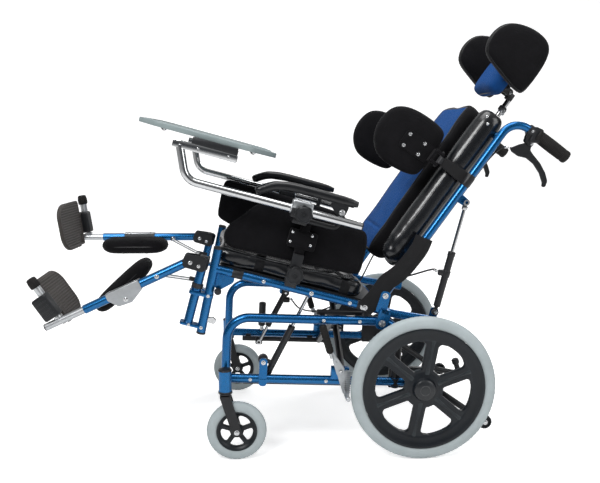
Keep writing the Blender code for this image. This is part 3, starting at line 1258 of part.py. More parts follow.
def recline_cable():
    x = SEAT_X - 0.006
    foot = SEAT @ Vector((SEAT_X, RECLINE_FOOT[0], RECLINE_FOOT[1]))
    head = BACK @ Vector((SEAT_X, RECLINE_EAR[0], RECLINE_EAR[1]))
    up = strut_axis(foot, head)
    rear = Vector((0, up.z, -up.y))
    release = BACK.inverted() @ (foot + up * 0.112 - rear * 0.0257)
    route = [release, release + Vector((0, -0.004, 0.016)), (x - 0.016, 0.070, -0.0175),
             (x - 0.018, 0.120, -0.0175), (x - 0.018, 0.220, -0.0175), (x - 0.018, 0.330, -0.0175),
             (x - 0.016, 0.430, -0.0175), (x - 0.011, 0.480, -0.0180), (x - 0.002, 0.513, -0.0240),
             (x + 0.006, 0.5262, -0.0375)]
    points = smooth_route(route)
    piece("recline_cable", rod(BACK, points, CABLE), "black", BACK)


def tilt_cable():
    """From the release head of the right tilt strut to the right hand lever."""
    x = -SEAT_X
    head = SEAT @ Vector((-RIGHT_STRUT_X, -RIGHT_HEAD[0], RIGHT_HEAD[1]))
    hanging = [(-0.2000, 0.0160, -0.0200), (-0.2000, 0.0500, -0.0560), (-0.2030, 0.1150, -0.0640),
               (-0.2110, 0.1950, -0.0300), (-0.2180, 0.2480, 0.0250)]
    low = [BACK.inverted() @ (level_at(Vector((0, head.y, head.z))) @ Vector(point)) for point in hanging]
    back = [(x + 0.020, 0.060, -0.0200), (x + 0.018, 0.150, -0.0175), (x + 0.018, 0.260, -0.0175),
            (x + 0.018, 0.370, -0.0175), (x + 0.016, 0.430, -0.0175), (x + 0.011, 0.480, -0.0180),
            (x + 0.004, 0.513, -0.0240), (x, 0.5262, -0.0375)]
    piece("tilt_cable", rod(BACK, smooth_route(low + back), CABLE), "black", BACK)


def build():
    for side, word in SIDES:
        base_frame(side, word)
        rear_wheel(side, word)
        caster(side, word)
        wheel_lock(side, word)
        anti_tip_wheel(side, word)
        arm_support(side, word)
        armrest_pad(side, word)
        side_guard(side, word)
        tray_support(side, word)
        push_grip(side, word)
        hand_lever(side, word)
        recline_strut(side, word)
        trunk_pad(side, word)
        head_wing(side, word)
        leg_hanger(side, word)
        leg_tube(side, word)
        leg_link(side, word)
        foot_extension(side, word)
        footplate(side, word)
        calf_pad(side, word)
    cross_brace()
    left_tilt_strut()
    right_tilt_strut()
    seat_frame()
    seat_cushion()
    tray_board()
    back_frame()
    back_cushion()
    head_stem()
    head_pad()
    recline_cable()
    tilt_cable()


build()
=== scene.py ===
"""Dressed model of the tilt-in-space positioning wheelchair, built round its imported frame."""
import json
from math import asin, atan2, ceil, cos, exp, pi, radians, sin, sqrt, tan

import bmesh
import bpy
from mathutils import Matrix, Vector, noise

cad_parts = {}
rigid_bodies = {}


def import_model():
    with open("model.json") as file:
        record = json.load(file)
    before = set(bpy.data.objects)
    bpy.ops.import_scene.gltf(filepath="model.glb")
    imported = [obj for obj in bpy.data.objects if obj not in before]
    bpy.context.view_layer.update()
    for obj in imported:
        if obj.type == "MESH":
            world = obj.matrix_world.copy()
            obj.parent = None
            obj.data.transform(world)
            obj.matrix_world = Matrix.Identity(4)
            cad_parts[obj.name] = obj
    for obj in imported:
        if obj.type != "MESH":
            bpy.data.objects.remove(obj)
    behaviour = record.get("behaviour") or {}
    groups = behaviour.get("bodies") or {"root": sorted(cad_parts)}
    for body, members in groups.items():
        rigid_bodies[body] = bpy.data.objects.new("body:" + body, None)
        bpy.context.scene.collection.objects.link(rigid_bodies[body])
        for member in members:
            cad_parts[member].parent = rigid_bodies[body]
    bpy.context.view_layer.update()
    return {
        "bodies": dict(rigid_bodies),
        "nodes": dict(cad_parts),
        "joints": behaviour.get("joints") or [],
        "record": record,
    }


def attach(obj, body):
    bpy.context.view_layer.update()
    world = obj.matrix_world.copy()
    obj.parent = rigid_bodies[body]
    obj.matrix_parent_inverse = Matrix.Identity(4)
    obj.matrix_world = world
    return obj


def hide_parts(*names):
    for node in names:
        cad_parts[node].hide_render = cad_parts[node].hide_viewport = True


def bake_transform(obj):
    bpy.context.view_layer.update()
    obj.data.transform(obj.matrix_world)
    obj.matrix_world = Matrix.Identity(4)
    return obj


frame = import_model()
BODY_OF = {node: body for body, nodes in frame["record"]["behaviour"]["bodies"].items() for node in nodes}
SIDES = ((1, "left"), (-1, "right"))
LATERAL = Matrix(((0, 0, 1, 0), (1, 0, 0, 0), (0, 1, 0, 0), (0, 0, 0, 1)))
WORLD = Matrix.Identity(4)

# The frames and sizes of the part's source
AXLE_Y = 0.3323
REAR_WHEEL_RADIUS = 0.2
REAR_RIM_RADIUS = 0.1686
REAR_WHEEL_X = 0.317
REAR_PHASE = radians(22)
CASTER_WHEEL_RADIUS = 0.082
CASTER_X = 0.282
BASE_PITCH = radians(2.8)
BASE_X = 0.245
BASE_TUBE = 0.0125
BASE_FRONT = 0.538
BASE_TOP = 0.165
BASE_LOW = -0.007
TILT_U = 0.114
TILT_W = 0.163
SEAT_ANGLE = radians(15.3)
SEAT_X = 0.241
SEAT_TUBE = 0.0115
RAIL_B = 0.031
RECLINE_U = 0.011
RECLINE_B = 0.0758
BACK_ANGLE = radians(54.3)
BACK_TOP = 0.596
HANDLE_END = 0.189
GRIP_START = 0.079
LEG_X = 0.237
LEG_PIVOT_U = 0.549
LEG_PIVOT_B = 0.036
LEG_DROP = {1: radians(24.4), -1: radians(-0.5)}
HANGER_U = 0.515
FOOT_PIN = {1: 0.385, -1: 0.361}
FOOT_FLIP = {1: radians(-11), -1: radians(13)}
CALF_TURN = {1: radians(18), -1: radians(0)}
TRAY_TUBE_X = 0.298
TRAY_TUBE_B = 0.247
TRAY_RAIL_B = 0.333
BOARD_LOW = 0.36
TRUNK_S = 0.387
SEAT_FRONT, SEAT_REAR = -0.466, -0.088
FACE_HALF, FACE_LOW, FACE_HIGH = 0.126, 0.077, 0.568
GUARD_X = 0.2098
HEAD_PAD_T = 0.0478
WING_HINGE_X, WING_HINGE_T = 0.1035, 0.012
ROLL_STRAP_S = 0.395
ANTI_TIP_AXLE = (0.2041, -0.1202)
STOP_POST_U = 0.4254
RECLINE_FOOT = (0.1412, 0.064)
RECLINE_HEAD = (0.337, -0.033)
LEFT_HEAD = (0.21, 0.031)
RIGHT_HEAD = (0.228, -0.07)
CALF_PIN = (0.2, -0.02)
CALF_LIFT = {1: 0.028, -1: 0.006}
CALF_HALF = {1: 0.102, -1: 0.104}


def frame_at(parent, place, turn=0.0):
    return parent @ Matrix.Translation(Vector(place)) @ Matrix.Rotation(turn, 4, "X")


BASE = frame_at(WORLD, (0, AXLE_Y, REAR_WHEEL_RADIUS), -BASE_PITCH)
SEAT = Matrix.Translation(BASE @ Vector((0, -TILT_U, TILT_W))) @ Matrix.Rotation(-SEAT_ANGLE, 4, "X")
BACK = Matrix.Translation(SEAT @ Vector((0, -RECLINE_U, RECLINE_B))) @ Matrix.Rotation(BACK_ANGLE, 4, "X")


def leg_frame(side):
    pivot = SEAT @ Vector((side * LEG_X, -LEG_PIVOT_U, LEG_PIVOT_B))
    return Matrix.Translation(pivot) @ Matrix.Rotation(LEG_DROP[side], 4, "X")


def foot_frame(side):
    return frame_at(leg_frame(side), (0, -FOOT_PIN[side], 0), radians(8.8))


def calf_frame(side):
    return (leg_frame(side) @ Matrix.Translation((0, -CALF_PIN[0], CALF_PIN[1]))
        @ Matrix.Rotation(CALF_TURN[side], 4, "X"))


def up_of(frame, axis=(0, 0, 1)):
    """World direction of a frame's axis."""
    return frame.to_3x3() @ Vector(axis)


def caster_frame(side):
    return Matrix.Translation(BASE @ Vector((side * CASTER_X, -BASE_FRONT, BASE_LOW)))


# Materials

def blank(name):
    made = bpy.data.materials.new(name)
    made.use_nodes = True
    tree = made.node_tree
    return made, tree, tree.nodes["Principled BSDF"]


def node(tree, kind, **settings):
    made = tree.nodes.new(kind)
    for key, value in settings.items():
        if key.startswith("in_"):
            made.inputs[key[3:].replace("_", " ")].default_value = value
        else:
            setattr(made, key, value)
    return made


def pattern(tree, coords, kind, scale):
    """Height pattern in real metres: grain, cells, ribs along an axis, or a knit."""
    link = tree.links.new
    if kind == "grain":
        made = node(tree, "ShaderNodeTexNoise", in_Scale=scale, in_Detail=4.0, in_Roughness=0.6)
        link(coords, made.inputs["Vector"])
        return made.outputs["Fac"]
    if kind == "cells":
        made = node(tree, "ShaderNodeTexVoronoi", feature="SMOOTH_F1", in_Scale=scale, in_Smoothness=0.5)
        link(coords, made.inputs["Vector"])
        return made.outputs["Distance"]
    if kind == "creases":
        warp = node(tree, "ShaderNodeTexNoise", in_Scale=scale, in_Detail=2.0, in_Distortion=1.6)
        link(coords, warp.inputs["Vector"])
        fold = node(tree, "ShaderNodeMath", operation="SUBTRACT")
        link(warp.outputs["Fac"], fold.inputs[0])
        fold.inputs[1].default_value = 0.5
        made = node(tree, "ShaderNodeMath", operation="ABSOLUTE")
        link(fold.outputs[0], made.inputs[0])
        return made.outputs[0]
    waves = []
    for axis in "XYZ" if kind == "knit" else kind[-1].upper():
        wave = node(tree, "ShaderNodeTexWave", bands_direction=axis, in_Scale=scale)
        wave.inputs["Distortion"].default_value = 0.3 if kind == "knit" else 0.0
        wave.inputs["Detail Scale"].default_value = 1.0
        link(coords, wave.inputs["Vector"])
        waves.append(wave.outputs["Fac"])
    total = waves[0]
    for wave in waves[1:]:
        both = node(tree, "ShaderNodeMath", operation="ADD")
        link(total, both.inputs[0])
        link(wave, both.inputs[1])
        total = both.outputs[0]
    return total


def finish_of(name, colour, rough, metallic=0.0, spread=0.15, patch=9.0, rough_spread=0.08, bumps=(),
        coat=0.0, sheen=0.0, wear=None, shine=0.5):
    """Material with colour and gloss that vary over the surface, fine relief, and wear along edges."""
    made, tree, shader = blank(name)
    link = tree.links.new
    coords = node(tree, "ShaderNodeTexCoord").outputs["Object"]
    cloud = node(tree, "ShaderNodeTexNoise", in_Scale=patch, in_Detail=6.0, in_Roughness=0.65)
    link(coords, cloud.inputs["Vector"])
    ramp = node(tree, "ShaderNodeValToRGB")
    for stop, position, factor in zip(ramp.color_ramp.elements, (0.3, 0.7), (1 - spread, 1 + spread)):
        stop.position = position
        stop.color = (*[min(1, c * factor) for c in colour], 1)
    link(cloud.outputs["Fac"], ramp.inputs["Fac"])
    tone = ramp.outputs["Color"]
    fine = node(tree, "ShaderNodeTexNoise", in_Scale=patch * 7, in_Detail=5.0, in_Roughness=0.7)
    link(coords, fine.inputs["Vector"])
    if wear:
        edge = node(tree, "ShaderNodeNewGeometry")
        scuff = node(tree, "ShaderNodeMapRange", in_From_Min=0.53, in_From_Max=0.62)
        link(edge.outputs["Pointiness"], scuff.inputs["Value"])
        broken = node(tree, "ShaderNodeMath", operation="MULTIPLY")
        link(scuff.outputs["Result"], broken.inputs[0])
        link(fine.outputs["Fac"], broken.inputs[1])
        mix = node(tree, "ShaderNodeMix", data_type="RGBA")
        link(broken.outputs[0], mix.inputs[0])
        link(tone, mix.inputs[6])
        mix.inputs[7].default_value = (*wear, 1)
        tone = mix.outputs[2]
    link(tone, shader.inputs["Base Color"])
    gloss = node(tree, "ShaderNodeMapRange", in_To_Min=max(0.02, rough - rough_spread),
        in_To_Max=min(1.0, rough + rough_spread))
    link(fine.outputs["Fac"], gloss.inputs["Value"])
    link(gloss.outputs["Result"], shader.inputs["Roughness"])
    for key, value in (("Metallic", metallic), ("Specular IOR Level", shine), ("Coat Weight", coat),
            ("Coat Roughness", 0.06), ("Sheen Weight", sheen), ("Sheen Roughness", 0.4)):
        shader.inputs[key].default_value = value
    normal = None
    for kind, scale, depth in bumps:
        bump = node(tree, "ShaderNodeBump", in_Strength=1.0, in_Distance=depth)
        link(pattern(tree, coords, kind, scale), bump.inputs["Height"])
        if normal:
            link(normal, bump.inputs["Normal"])
        normal = bump.outputs["Normal"]
    if normal:
        link(normal, shader.inputs["Normal"])
    return made


BLUE = finish_of("metallic_blue_paint", (0.0015, 0.105, 0.3), 0.27, metallic=0.82, coat=0.35, spread=0.1,
    patch=60.0, rough_spread=0.06, bumps=[("grain", 420.0, 0.00005)], wear=(0.03, 0.2, 0.45))
CHROME = finish_of("chrome_plate", (0.62, 0.63, 0.64), 0.09, metallic=1.0, spread=0.05, patch=14.0,
    rough_spread=0.05, bumps=[("grain", 160.0, 0.00002)])
SILVER = finish_of("silver_casting", (0.42, 0.44, 0.46), 0.34, metallic=0.92, spread=0.1, patch=40.0,
    rough_spread=0.1, bumps=[("grain", 700.0, 0.00006)], wear=(0.8, 0.8, 0.8))
BRIGHT = finish_of("zinc_plated_bolt", (0.62, 0.63, 0.64), 0.2, metallic=1.0, spread=0.1, patch=120.0,
    bumps=[("grain", 900.0, 0.00003)])
SATIN = finish_of("satin_black_paint", (0.007, 0.0075, 0.009), 0.36, spread=0.25, patch=50.0, coat=0.08,
    shine=0.35, bumps=[("grain", 500.0, 0.00006)], wear=(0.05, 0.05, 0.055))
PLASTIC = finish_of("moulded_black_plastic", (0.0065, 0.0075, 0.009), 0.4, spread=0.2, patch=35.0,
    shine=0.38, bumps=[("grain", 1100.0, 0.0001)], wear=(0.035, 0.035, 0.04))
WHEEL = finish_of("moulded_wheel_plastic", (0.0045, 0.0068, 0.01), 0.38, spread=0.25, patch=18.0, shine=0.35,
    bumps=[("grain", 800.0, 0.00008)], wear=(0.035, 0.045, 0.05))
RUBBER = finish_of("grip_rubber", (0.009, 0.008, 0.0075), 0.62, spread=0.25, patch=40.0, shine=0.25,
    bumps=[("grain", 900.0, 0.00012)])
TYRE = finish_of("grey_tyre_rubber", (0.385, 0.435, 0.448), 0.7, spread=0.09, patch=14.0, shine=0.3,
    bumps=[("grain", 500.0, 0.00016), ("grain", 60.0, 0.0002)], wear=(0.24, 0.26, 0.26))
LEATHER = finish_of("black_leatherette", (0.006, 0.0068, 0.0085), 0.24, spread=0.2, patch=25.0, coat=0.25,
    bumps=[("creases", 9.0, 0.0016), ("cells", 620.0, 0.00007)])
SMOOTH_LEATHER = finish_of("soft_black_vinyl", (0.007, 0.0078, 0.0092), 0.3, spread=0.2, patch=20.0,
    coat=0.12, shine=0.4, bumps=[("creases", 10.0, 0.0008), ("cells", 650.0, 0.0001)])
CLOTH = finish_of("black_knit_fabric", (0.0052, 0.005, 0.0062), 0.8, spread=0.25, patch=22.0, sheen=0.035,
    shine=0.12, bumps=[("knit", 170.0, 0.00035), ("grain", 60.0, 0.0006)])
MESH = finish_of("black_spacer_mesh", (0.006, 0.006, 0.007), 0.62, spread=0.3, patch=30.0, sheen=0.06,
    shine=0.3, bumps=[("cells", 230.0, 0.0014)])
BLUE_CLOTH = finish_of("blue_knit_fabric", (0.0072, 0.062, 0.23), 0.82, spread=0.12, patch=25.0, sheen=0.03,
    shine=0.12, bumps=[("knit", 170.0, 0.0003), ("grain", 50.0, 0.0005)])
WEBBING = finish_of("black_nylon_webbing", (0.007, 0.007, 0.0082), 0.55, spread=0.25, patch=60.0, sheen=0.03,
    shine=0.25, bumps=[("knit", 210.0, 0.00045)])
PIPING = finish_of("silver_grey_stitching", (0.2, 0.21, 0.22), 0.55, spread=0.2, patch=90.0,
    bumps=[("ribsy", 90.0, 0.0006)])
FOOT = finish_of("brown_grey_plastic", (0.036, 0.031, 0.028), 0.5, spread=0.18, patch=25.0, shine=0.35,
    bumps=[("grain", 900.0, 0.00012)], wear=(0.1, 0.09, 0.085))
BOARD = finish_of("grey_tray_laminate", (0.135, 0.172, 0.176), 0.36, spread=0.06, patch=60.0, shine=0.35,
    bumps=[("grain", 300.0, 0.00006)])
BOARD_EDGE = finish_of("pale_tray_edging", (0.25, 0.3, 0.305), 0.34, spread=0.06, patch=40.0, shine=0.35,
    bumps=[("grain", 500.0, 0.00005)])
SHEATH = finish_of("black_cable_sheath", (0.007, 0.007, 0.008), 0.4, spread=0.2, patch=60.0, shine=0.35,
    bumps=[("grain", 800.0, 0.00005)])
HUB = finish_of("dark_grey_hub_cap", (0.017, 0.019, 0.0215), 0.3, spread=0.15, patch=30.0, shine=0.4,
    bumps=[("grain", 900.0, 0.00005)], wear=(0.06, 0.06, 0.065))


# Shapes: each helper gives (points, faces) in metres, in the chair's own place

def rounded(points, bend, closed=False, step=radians(8)):
    """Path or outline whose corners are arcs of the given radius."""
    corners = [Vector(p) for p in points]
    count = len(corners)
    bends = bend if isinstance(bend, (list, tuple)) else [bend] * count
    path = []
    for i, corner in enumerate(corners):
        if bends[i] == 0 or (not closed and i in (0, count - 1)):
            path.append(corner)
            continue
        to_last = corners[i - 1] - corner
        to_next = corners[(i + 1) % count] - corner
        turn = pi - to_last.angle(to_next)
        if turn < radians(1):
            path.append(corner)
            continue
        reach = min(bends[i] * tan(turn / 2), 0.49 * min(to_last.length, to_next.length))
        radius = reach / tan(turn / 2)
        middle = (to_last.normalized() + to_next.normalized()).normalized()
        centre = corner + middle * (radius / cos(turn / 2))
        start = corner + to_last.normalized() * reach - centre
        end = corner + to_next.normalized() * reach - centre
        steps = max(2, ceil(turn / step))
        for k in range(steps + 1):
            a = sin((1 - k / steps) * turn) / sin(turn)
            b = sin(k / steps * turn) / sin(turn)
            path.append(centre + start * a + end * b)
    return path


def spanned(a, b, c, d, per_span):
    """Points of a smooth curve's span from b to c, with a before and d after it."""
    shares = [k / per_span for k in range(per_span)]
    return [0.5 * ((2 * b) + (c - a) * t + (2 * a - 5 * b + 4 * c - d) * t * t
        + (3 * b - a - 3 * c + d) * t ** 3) for t in shares]


def smooth_route(points, per_span=6):
    """Points on a smooth curve through the route's own points."""
    route = [Vector(p) for p in points]
    padded = [route[0] * 2 - route[1]] + route + [route[-1] * 2 - route[-2]]
    out = []
    for a, b, c, d in zip(padded, padded[1:], padded[2:], padded[3:]):
        out += spanned(a, b, c, d, per_span)
    out.append(route[-1])
    return out


def skin(rings, closed=False):
    """Surface through rings of as many points each; a ring of one point is a tip."""
    points, faces, starts = [], [], []
    for ring in rings:
        starts.append(len(points))
        points += ring
    spans = list(zip(range(len(rings)), range(1, len(rings)))) + ([(len(rings) - 1, 0)] if closed else [])
    for i, j in spans:
        first, second = len(rings[i]), len(rings[j])
        count = max(first, second)
        for k in range(count):
            after = (k + 1) % count
            a, b = starts[i] + k % first, starts[i] + after % first
            c, d = starts[j] + after % second, starts[j] + k % second
            faces.append(tuple(dict.fromkeys((a, b, c, d))))
    if not closed:
        for i in (0, len(rings) - 1):
            if len(rings[i]) > 2:
                faces.append(tuple(range(starts[i], starts[i] + len(rings[i]))))
    return points, faces


def sweep(path, section, closed=False, up=None):
    """Section of (across, up) pairs carried along a path, one for all or one for each point."""
    path = [Vector(p) for p in path]
    count = len(path)
    rings = []
    last = count - 1
    side = None
    for i, point in enumerate(path):
        before = path[i - 1] if (i or closed) else path[0]
        after = path[(i + 1) % count] if (i < last or closed) else path[last]
        along = (after - before).normalized()
        if up is not None:
            side = along.cross(Vector(up)).normalized()
        elif side is None:
            side = along.orthogonal().normalized()
        else:
            side = (side - along * side.dot(along)).normalized()
        rise = side.cross(along)
        shape = section(i) if callable(section) else section
        rings.append([point + side * a + rise * b for a, b in shape])
    return skin(rings, closed)


def mirrored(half, middle=()):
    """Profile that goes on in reverse with its second value mirrored."""
    return half + [*middle] + [(a, -b) for a, b in reversed(half)]


def circle(radius, sides, squash=1.0):
    return [(radius * cos(2 * pi * k / sides), radius * squash * sin(2 * pi * k / sides))
        for k in range(sides)]


def tube(frame, points, radius, bend=0.0, sides=24, edge=0.001, closed=False):
    """Round bar or tube through points of the frame, with softened ends."""
    path = [frame @ p for p in rounded(points, bend, closed)]
    if closed:
        return sweep(path, circle(radius, sides), True)
    edge = min(edge, radius * 0.4)
    start = (path[1] - path[0]).normalized() * edge
    end = (path[-2] - path[-1]).normalized() * edge
    path = [path[0], path[0] + start] + path[1:-1] + [path[-1] + end, path[-1]]
    last = len(path) - 1
    return sweep(path, lambda i: circle(radius - (edge if i in (0, last) else 0), sides))


def turn_about(matrix, profile, steps=48, closed=False, wave=None):
    """Turned shape about the matrix's z axis, from (radius, z) pairs."""
    rings = []
    for i, (radius, z) in enumerate(profile):
        if radius < 1e-7:
            rings.append([matrix @ Vector((0, 0, z))])
            continue
        ring = []
        for k in range(steps):
            r = radius + (wave(i, k) if wave else 0)
            ring.append(matrix @ Vector((r * cos(2 * pi * k / steps), r * sin(2 * pi * k / steps), z)))
        rings.append(ring)
    return skin(rings, closed)


def lathe(frame, centre, profile, steps=64, closed=False, wave=None):
    """Turned shape about the lateral axis, from (radius, x) pairs."""
    return turn_about(frame_at(frame, centre) @ LATERAL, profile, steps, closed, wave)


def facing(frame, place, direction):
    """Matrix at a place of the frame whose z points along a direction of the frame."""
    spot = frame @ Vector(place)
    way = (frame.to_3x3() @ Vector(direction)).normalized()
    return Matrix.Translation(spot) @ way.to_track_quat("Z", "Y").to_matrix().to_4x4()


def bolt(frame, place, direction, radius, height=None, washer=True):
    """Domed socket-head bolt on its washer."""
    h = height or radius * 0.6
    r = radius
    profile = [(0, h * 0.35), (r * 0.36, h * 0.35), (r * 0.42, h), (r * 0.66, h), (r * 0.86, h * 0.82),
        (r * 0.92, h * 0.5), (r * 0.92, h * 0.16)]
    profile += [(r * 1.22, h * 0.16), (r * 1.25, 0)] if washer else [(r * 0.92, 0)]
    return turn_about(facing(frame, place, direction), profile, 24)


def side_bolt(frame, side, x, y, z, radius, height, washer=True):
    """Bolt that looks outward on one side of the chair."""
    return bolt(frame, (side * x, y, z), (side, 0, 0), radius, height, washer)


def pin(frame, start, end, y, z, radius, sides):
    """Round bar across the chair from one lateral place to another."""
    return tube(frame, [(start, y, z), (end, y, z)], radius, 0, sides)


def sided(side, near, far):
    """Lateral limits of a plate on one side, the lower first."""
    return sorted((side * near, side * far))


def nut(frame, place, direction, radius, height):
    h, r = height, radius
    return turn_about(facing(frame, place, direction), [(0, h * 0.9), (r * 0.5, h * 0.9), (r * 0.55, h),
        (r * 0.86, h), (r, h * 0.86), (r, 0)], 6)


def evaluated(made):
    """Mesh that an object's modifiers give."""
    bpy.context.view_layer.update()
    return bpy.data.meshes.new_from_object(made.evaluated_get(bpy.context.evaluated_depsgraph_get()))


def box(frame, centre, size, turn=0.0, bevel=0.0012, segments=2):
    """Box with rounded edges, turned about the lateral axis."""
    work = bmesh.new()
    bmesh.ops.create_cube(work, size=1.0)
    bmesh.ops.scale(work, vec=[abs(s) for s in size], verts=work.verts)
    bmesh.ops.bevel(work, geom=work.edges[:], offset=min(bevel, min(abs(s) for s in size) * 0.45),
        segments=segments, profile=0.5, affect="EDGES")
    return taken(work, frame_at(frame, centre, turn))


def taken(work, matrix):
    points = [matrix @ v.co for v in work.verts]
    faces = [tuple(v.index for v in f.verts) for f in work.faces]
    work.free()
    return points, faces


def plate(frame, outline, low, high, axis="X", bend=0.0, bevel=0.0006, holes=(), step=radians(12)):
    """Flat plate with rounded edges and openings: outline in (y, z) along X, or in (x, y) along Z."""
    data = bpy.data.curves.new("plate", "CURVE")
    data.dimensions = "2D"
    data.fill_mode = "BOTH"
    half = abs(high - low) / 2
    bevel = min(bevel, half * 0.9)
    data.extrude = half - bevel
    data.bevel_depth = bevel
    data.bevel_resolution = 1
    data.offset = -bevel
    for loop, corner in [(outline, bend)] + list(holes):
        points = rounded([(a, b, 0) for a, b in loop], corner, closed=True, step=step)
        spline = data.splines.new("POLY")
        spline.points.add(len(points) - 1)
        for slot, point in zip(spline.points, points):
            slot.co = (point.x, point.y, 0, 1)
        spline.use_cyclic_u = True
    drawn = bpy.data.objects.new("plate", data)
    bpy.context.scene.collection.objects.link(drawn)
    mesh = evaluated(drawn)
    bpy.data.objects.remove(drawn)
    matrix = frame @ (LATERAL if axis == "X" else WORLD) @ Matrix.Translation((0, 0, (low + high) / 2))
    points = [matrix @ v.co for v in mesh.vertices]
    faces = [tuple(p.vertices) for p in mesh.polygons]
    bpy.data.meshes.remove(mesh)
    return points, faces


def ring_band(frame, centre, direction, radius, width, thick=0.0015, sides=36):
    """Band or collar round a bar."""
    half = width / 2
    t = thick
    return turn_about(facing(frame, centre, direction), [(radius, -half), (radius + t * 0.8, -half),
        (radius + t, -half + t * 0.5), (radius + t, half - t * 0.5), (radius + t * 0.8, half),
        (radius, half)], sides, True)


def strap(path, width, thick, across=None, out=None):
    """Flat webbing along world points: its width lies along across, or its flat face looks out."""
    a, t = width / 2, thick / 2
    section = mirrored([(-a, -t * 0.5), (-a * 0.96, -t), (a * 0.96, -t), (a, -t * 0.5)])
    rings = []
    last = len(path) - 1
    for i, point in enumerate(path):
        along = (path[min(i + 1, last)] - path[max(i - 1, 0)]).normalized()
        if out:
            side = along.cross(out).normalized()
        else:
            side = Vector(across)
            side = (side - along * side.dot(along)).normalized()
        rise = side.cross(along)
        rings.append([point + side * u + rise * v for u, v in section])
    return skin(rings)


def joined(name, shapes):
    """One object from overlapping shapes, with every face turned outward."""
    points, faces = [], []
    for more_points, more_faces in shapes:
        shift = len(points)
        points += more_points
        faces += [tuple(i + shift for i in face) for face in more_faces]
    mesh = bpy.data.meshes.new(name)
    mesh.from_pydata([tuple(p) for p in points], [], faces)
    mesh.validate()
    work = bmesh.new()
    work.from_mesh(mesh)
    bmesh.ops.recalc_face_normals(work, faces=work.faces)
    work.to_mesh(mesh)
    work.free()
    made = bpy.data.objects.new(name, mesh)
    bpy.context.scene.collection.objects.link(made)
    return made


def faced(made, material, sharp):
    made.data.materials.append(material)
    made.data.shade_smooth()
    made.data.set_sharp_from_angle(angle=radians(sharp))
    return made


def carried(made, rides_like):
    """Piece carried by the body of a CAD node."""
    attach(made, BODY_OF[rides_like])
    return made


def add(name, rides_like, shapes, material, stands_for=None, sharp=38):
    """One piece from overlapping shapes, carried by the body of a CAD node."""
    made = carried(faced(joined(name, shapes), material, sharp), rides_like)
    if stands_for:
        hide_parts(stands_for)
    return made


# Base

LOCK_PIVOT = (-0.222, 0.026)
LEFT_EYE = (0.4356, 0.0428)
RIGHT_FOOT = (0.434, -0.0275)
LEFT_STRUT_X = 0.2215
RIGHT_STRUT_X = 0.2


def weld(frame, place, direction, radius):
    """Weld bead where one tube meets another."""
    ring = [(radius + 0.0012 * cos(a), 0.0016 * sin(a)) for a in [2 * pi * k / 8 for k in range(8)]]
    return turn_about(facing(frame, place, direction), ring, 36, True)


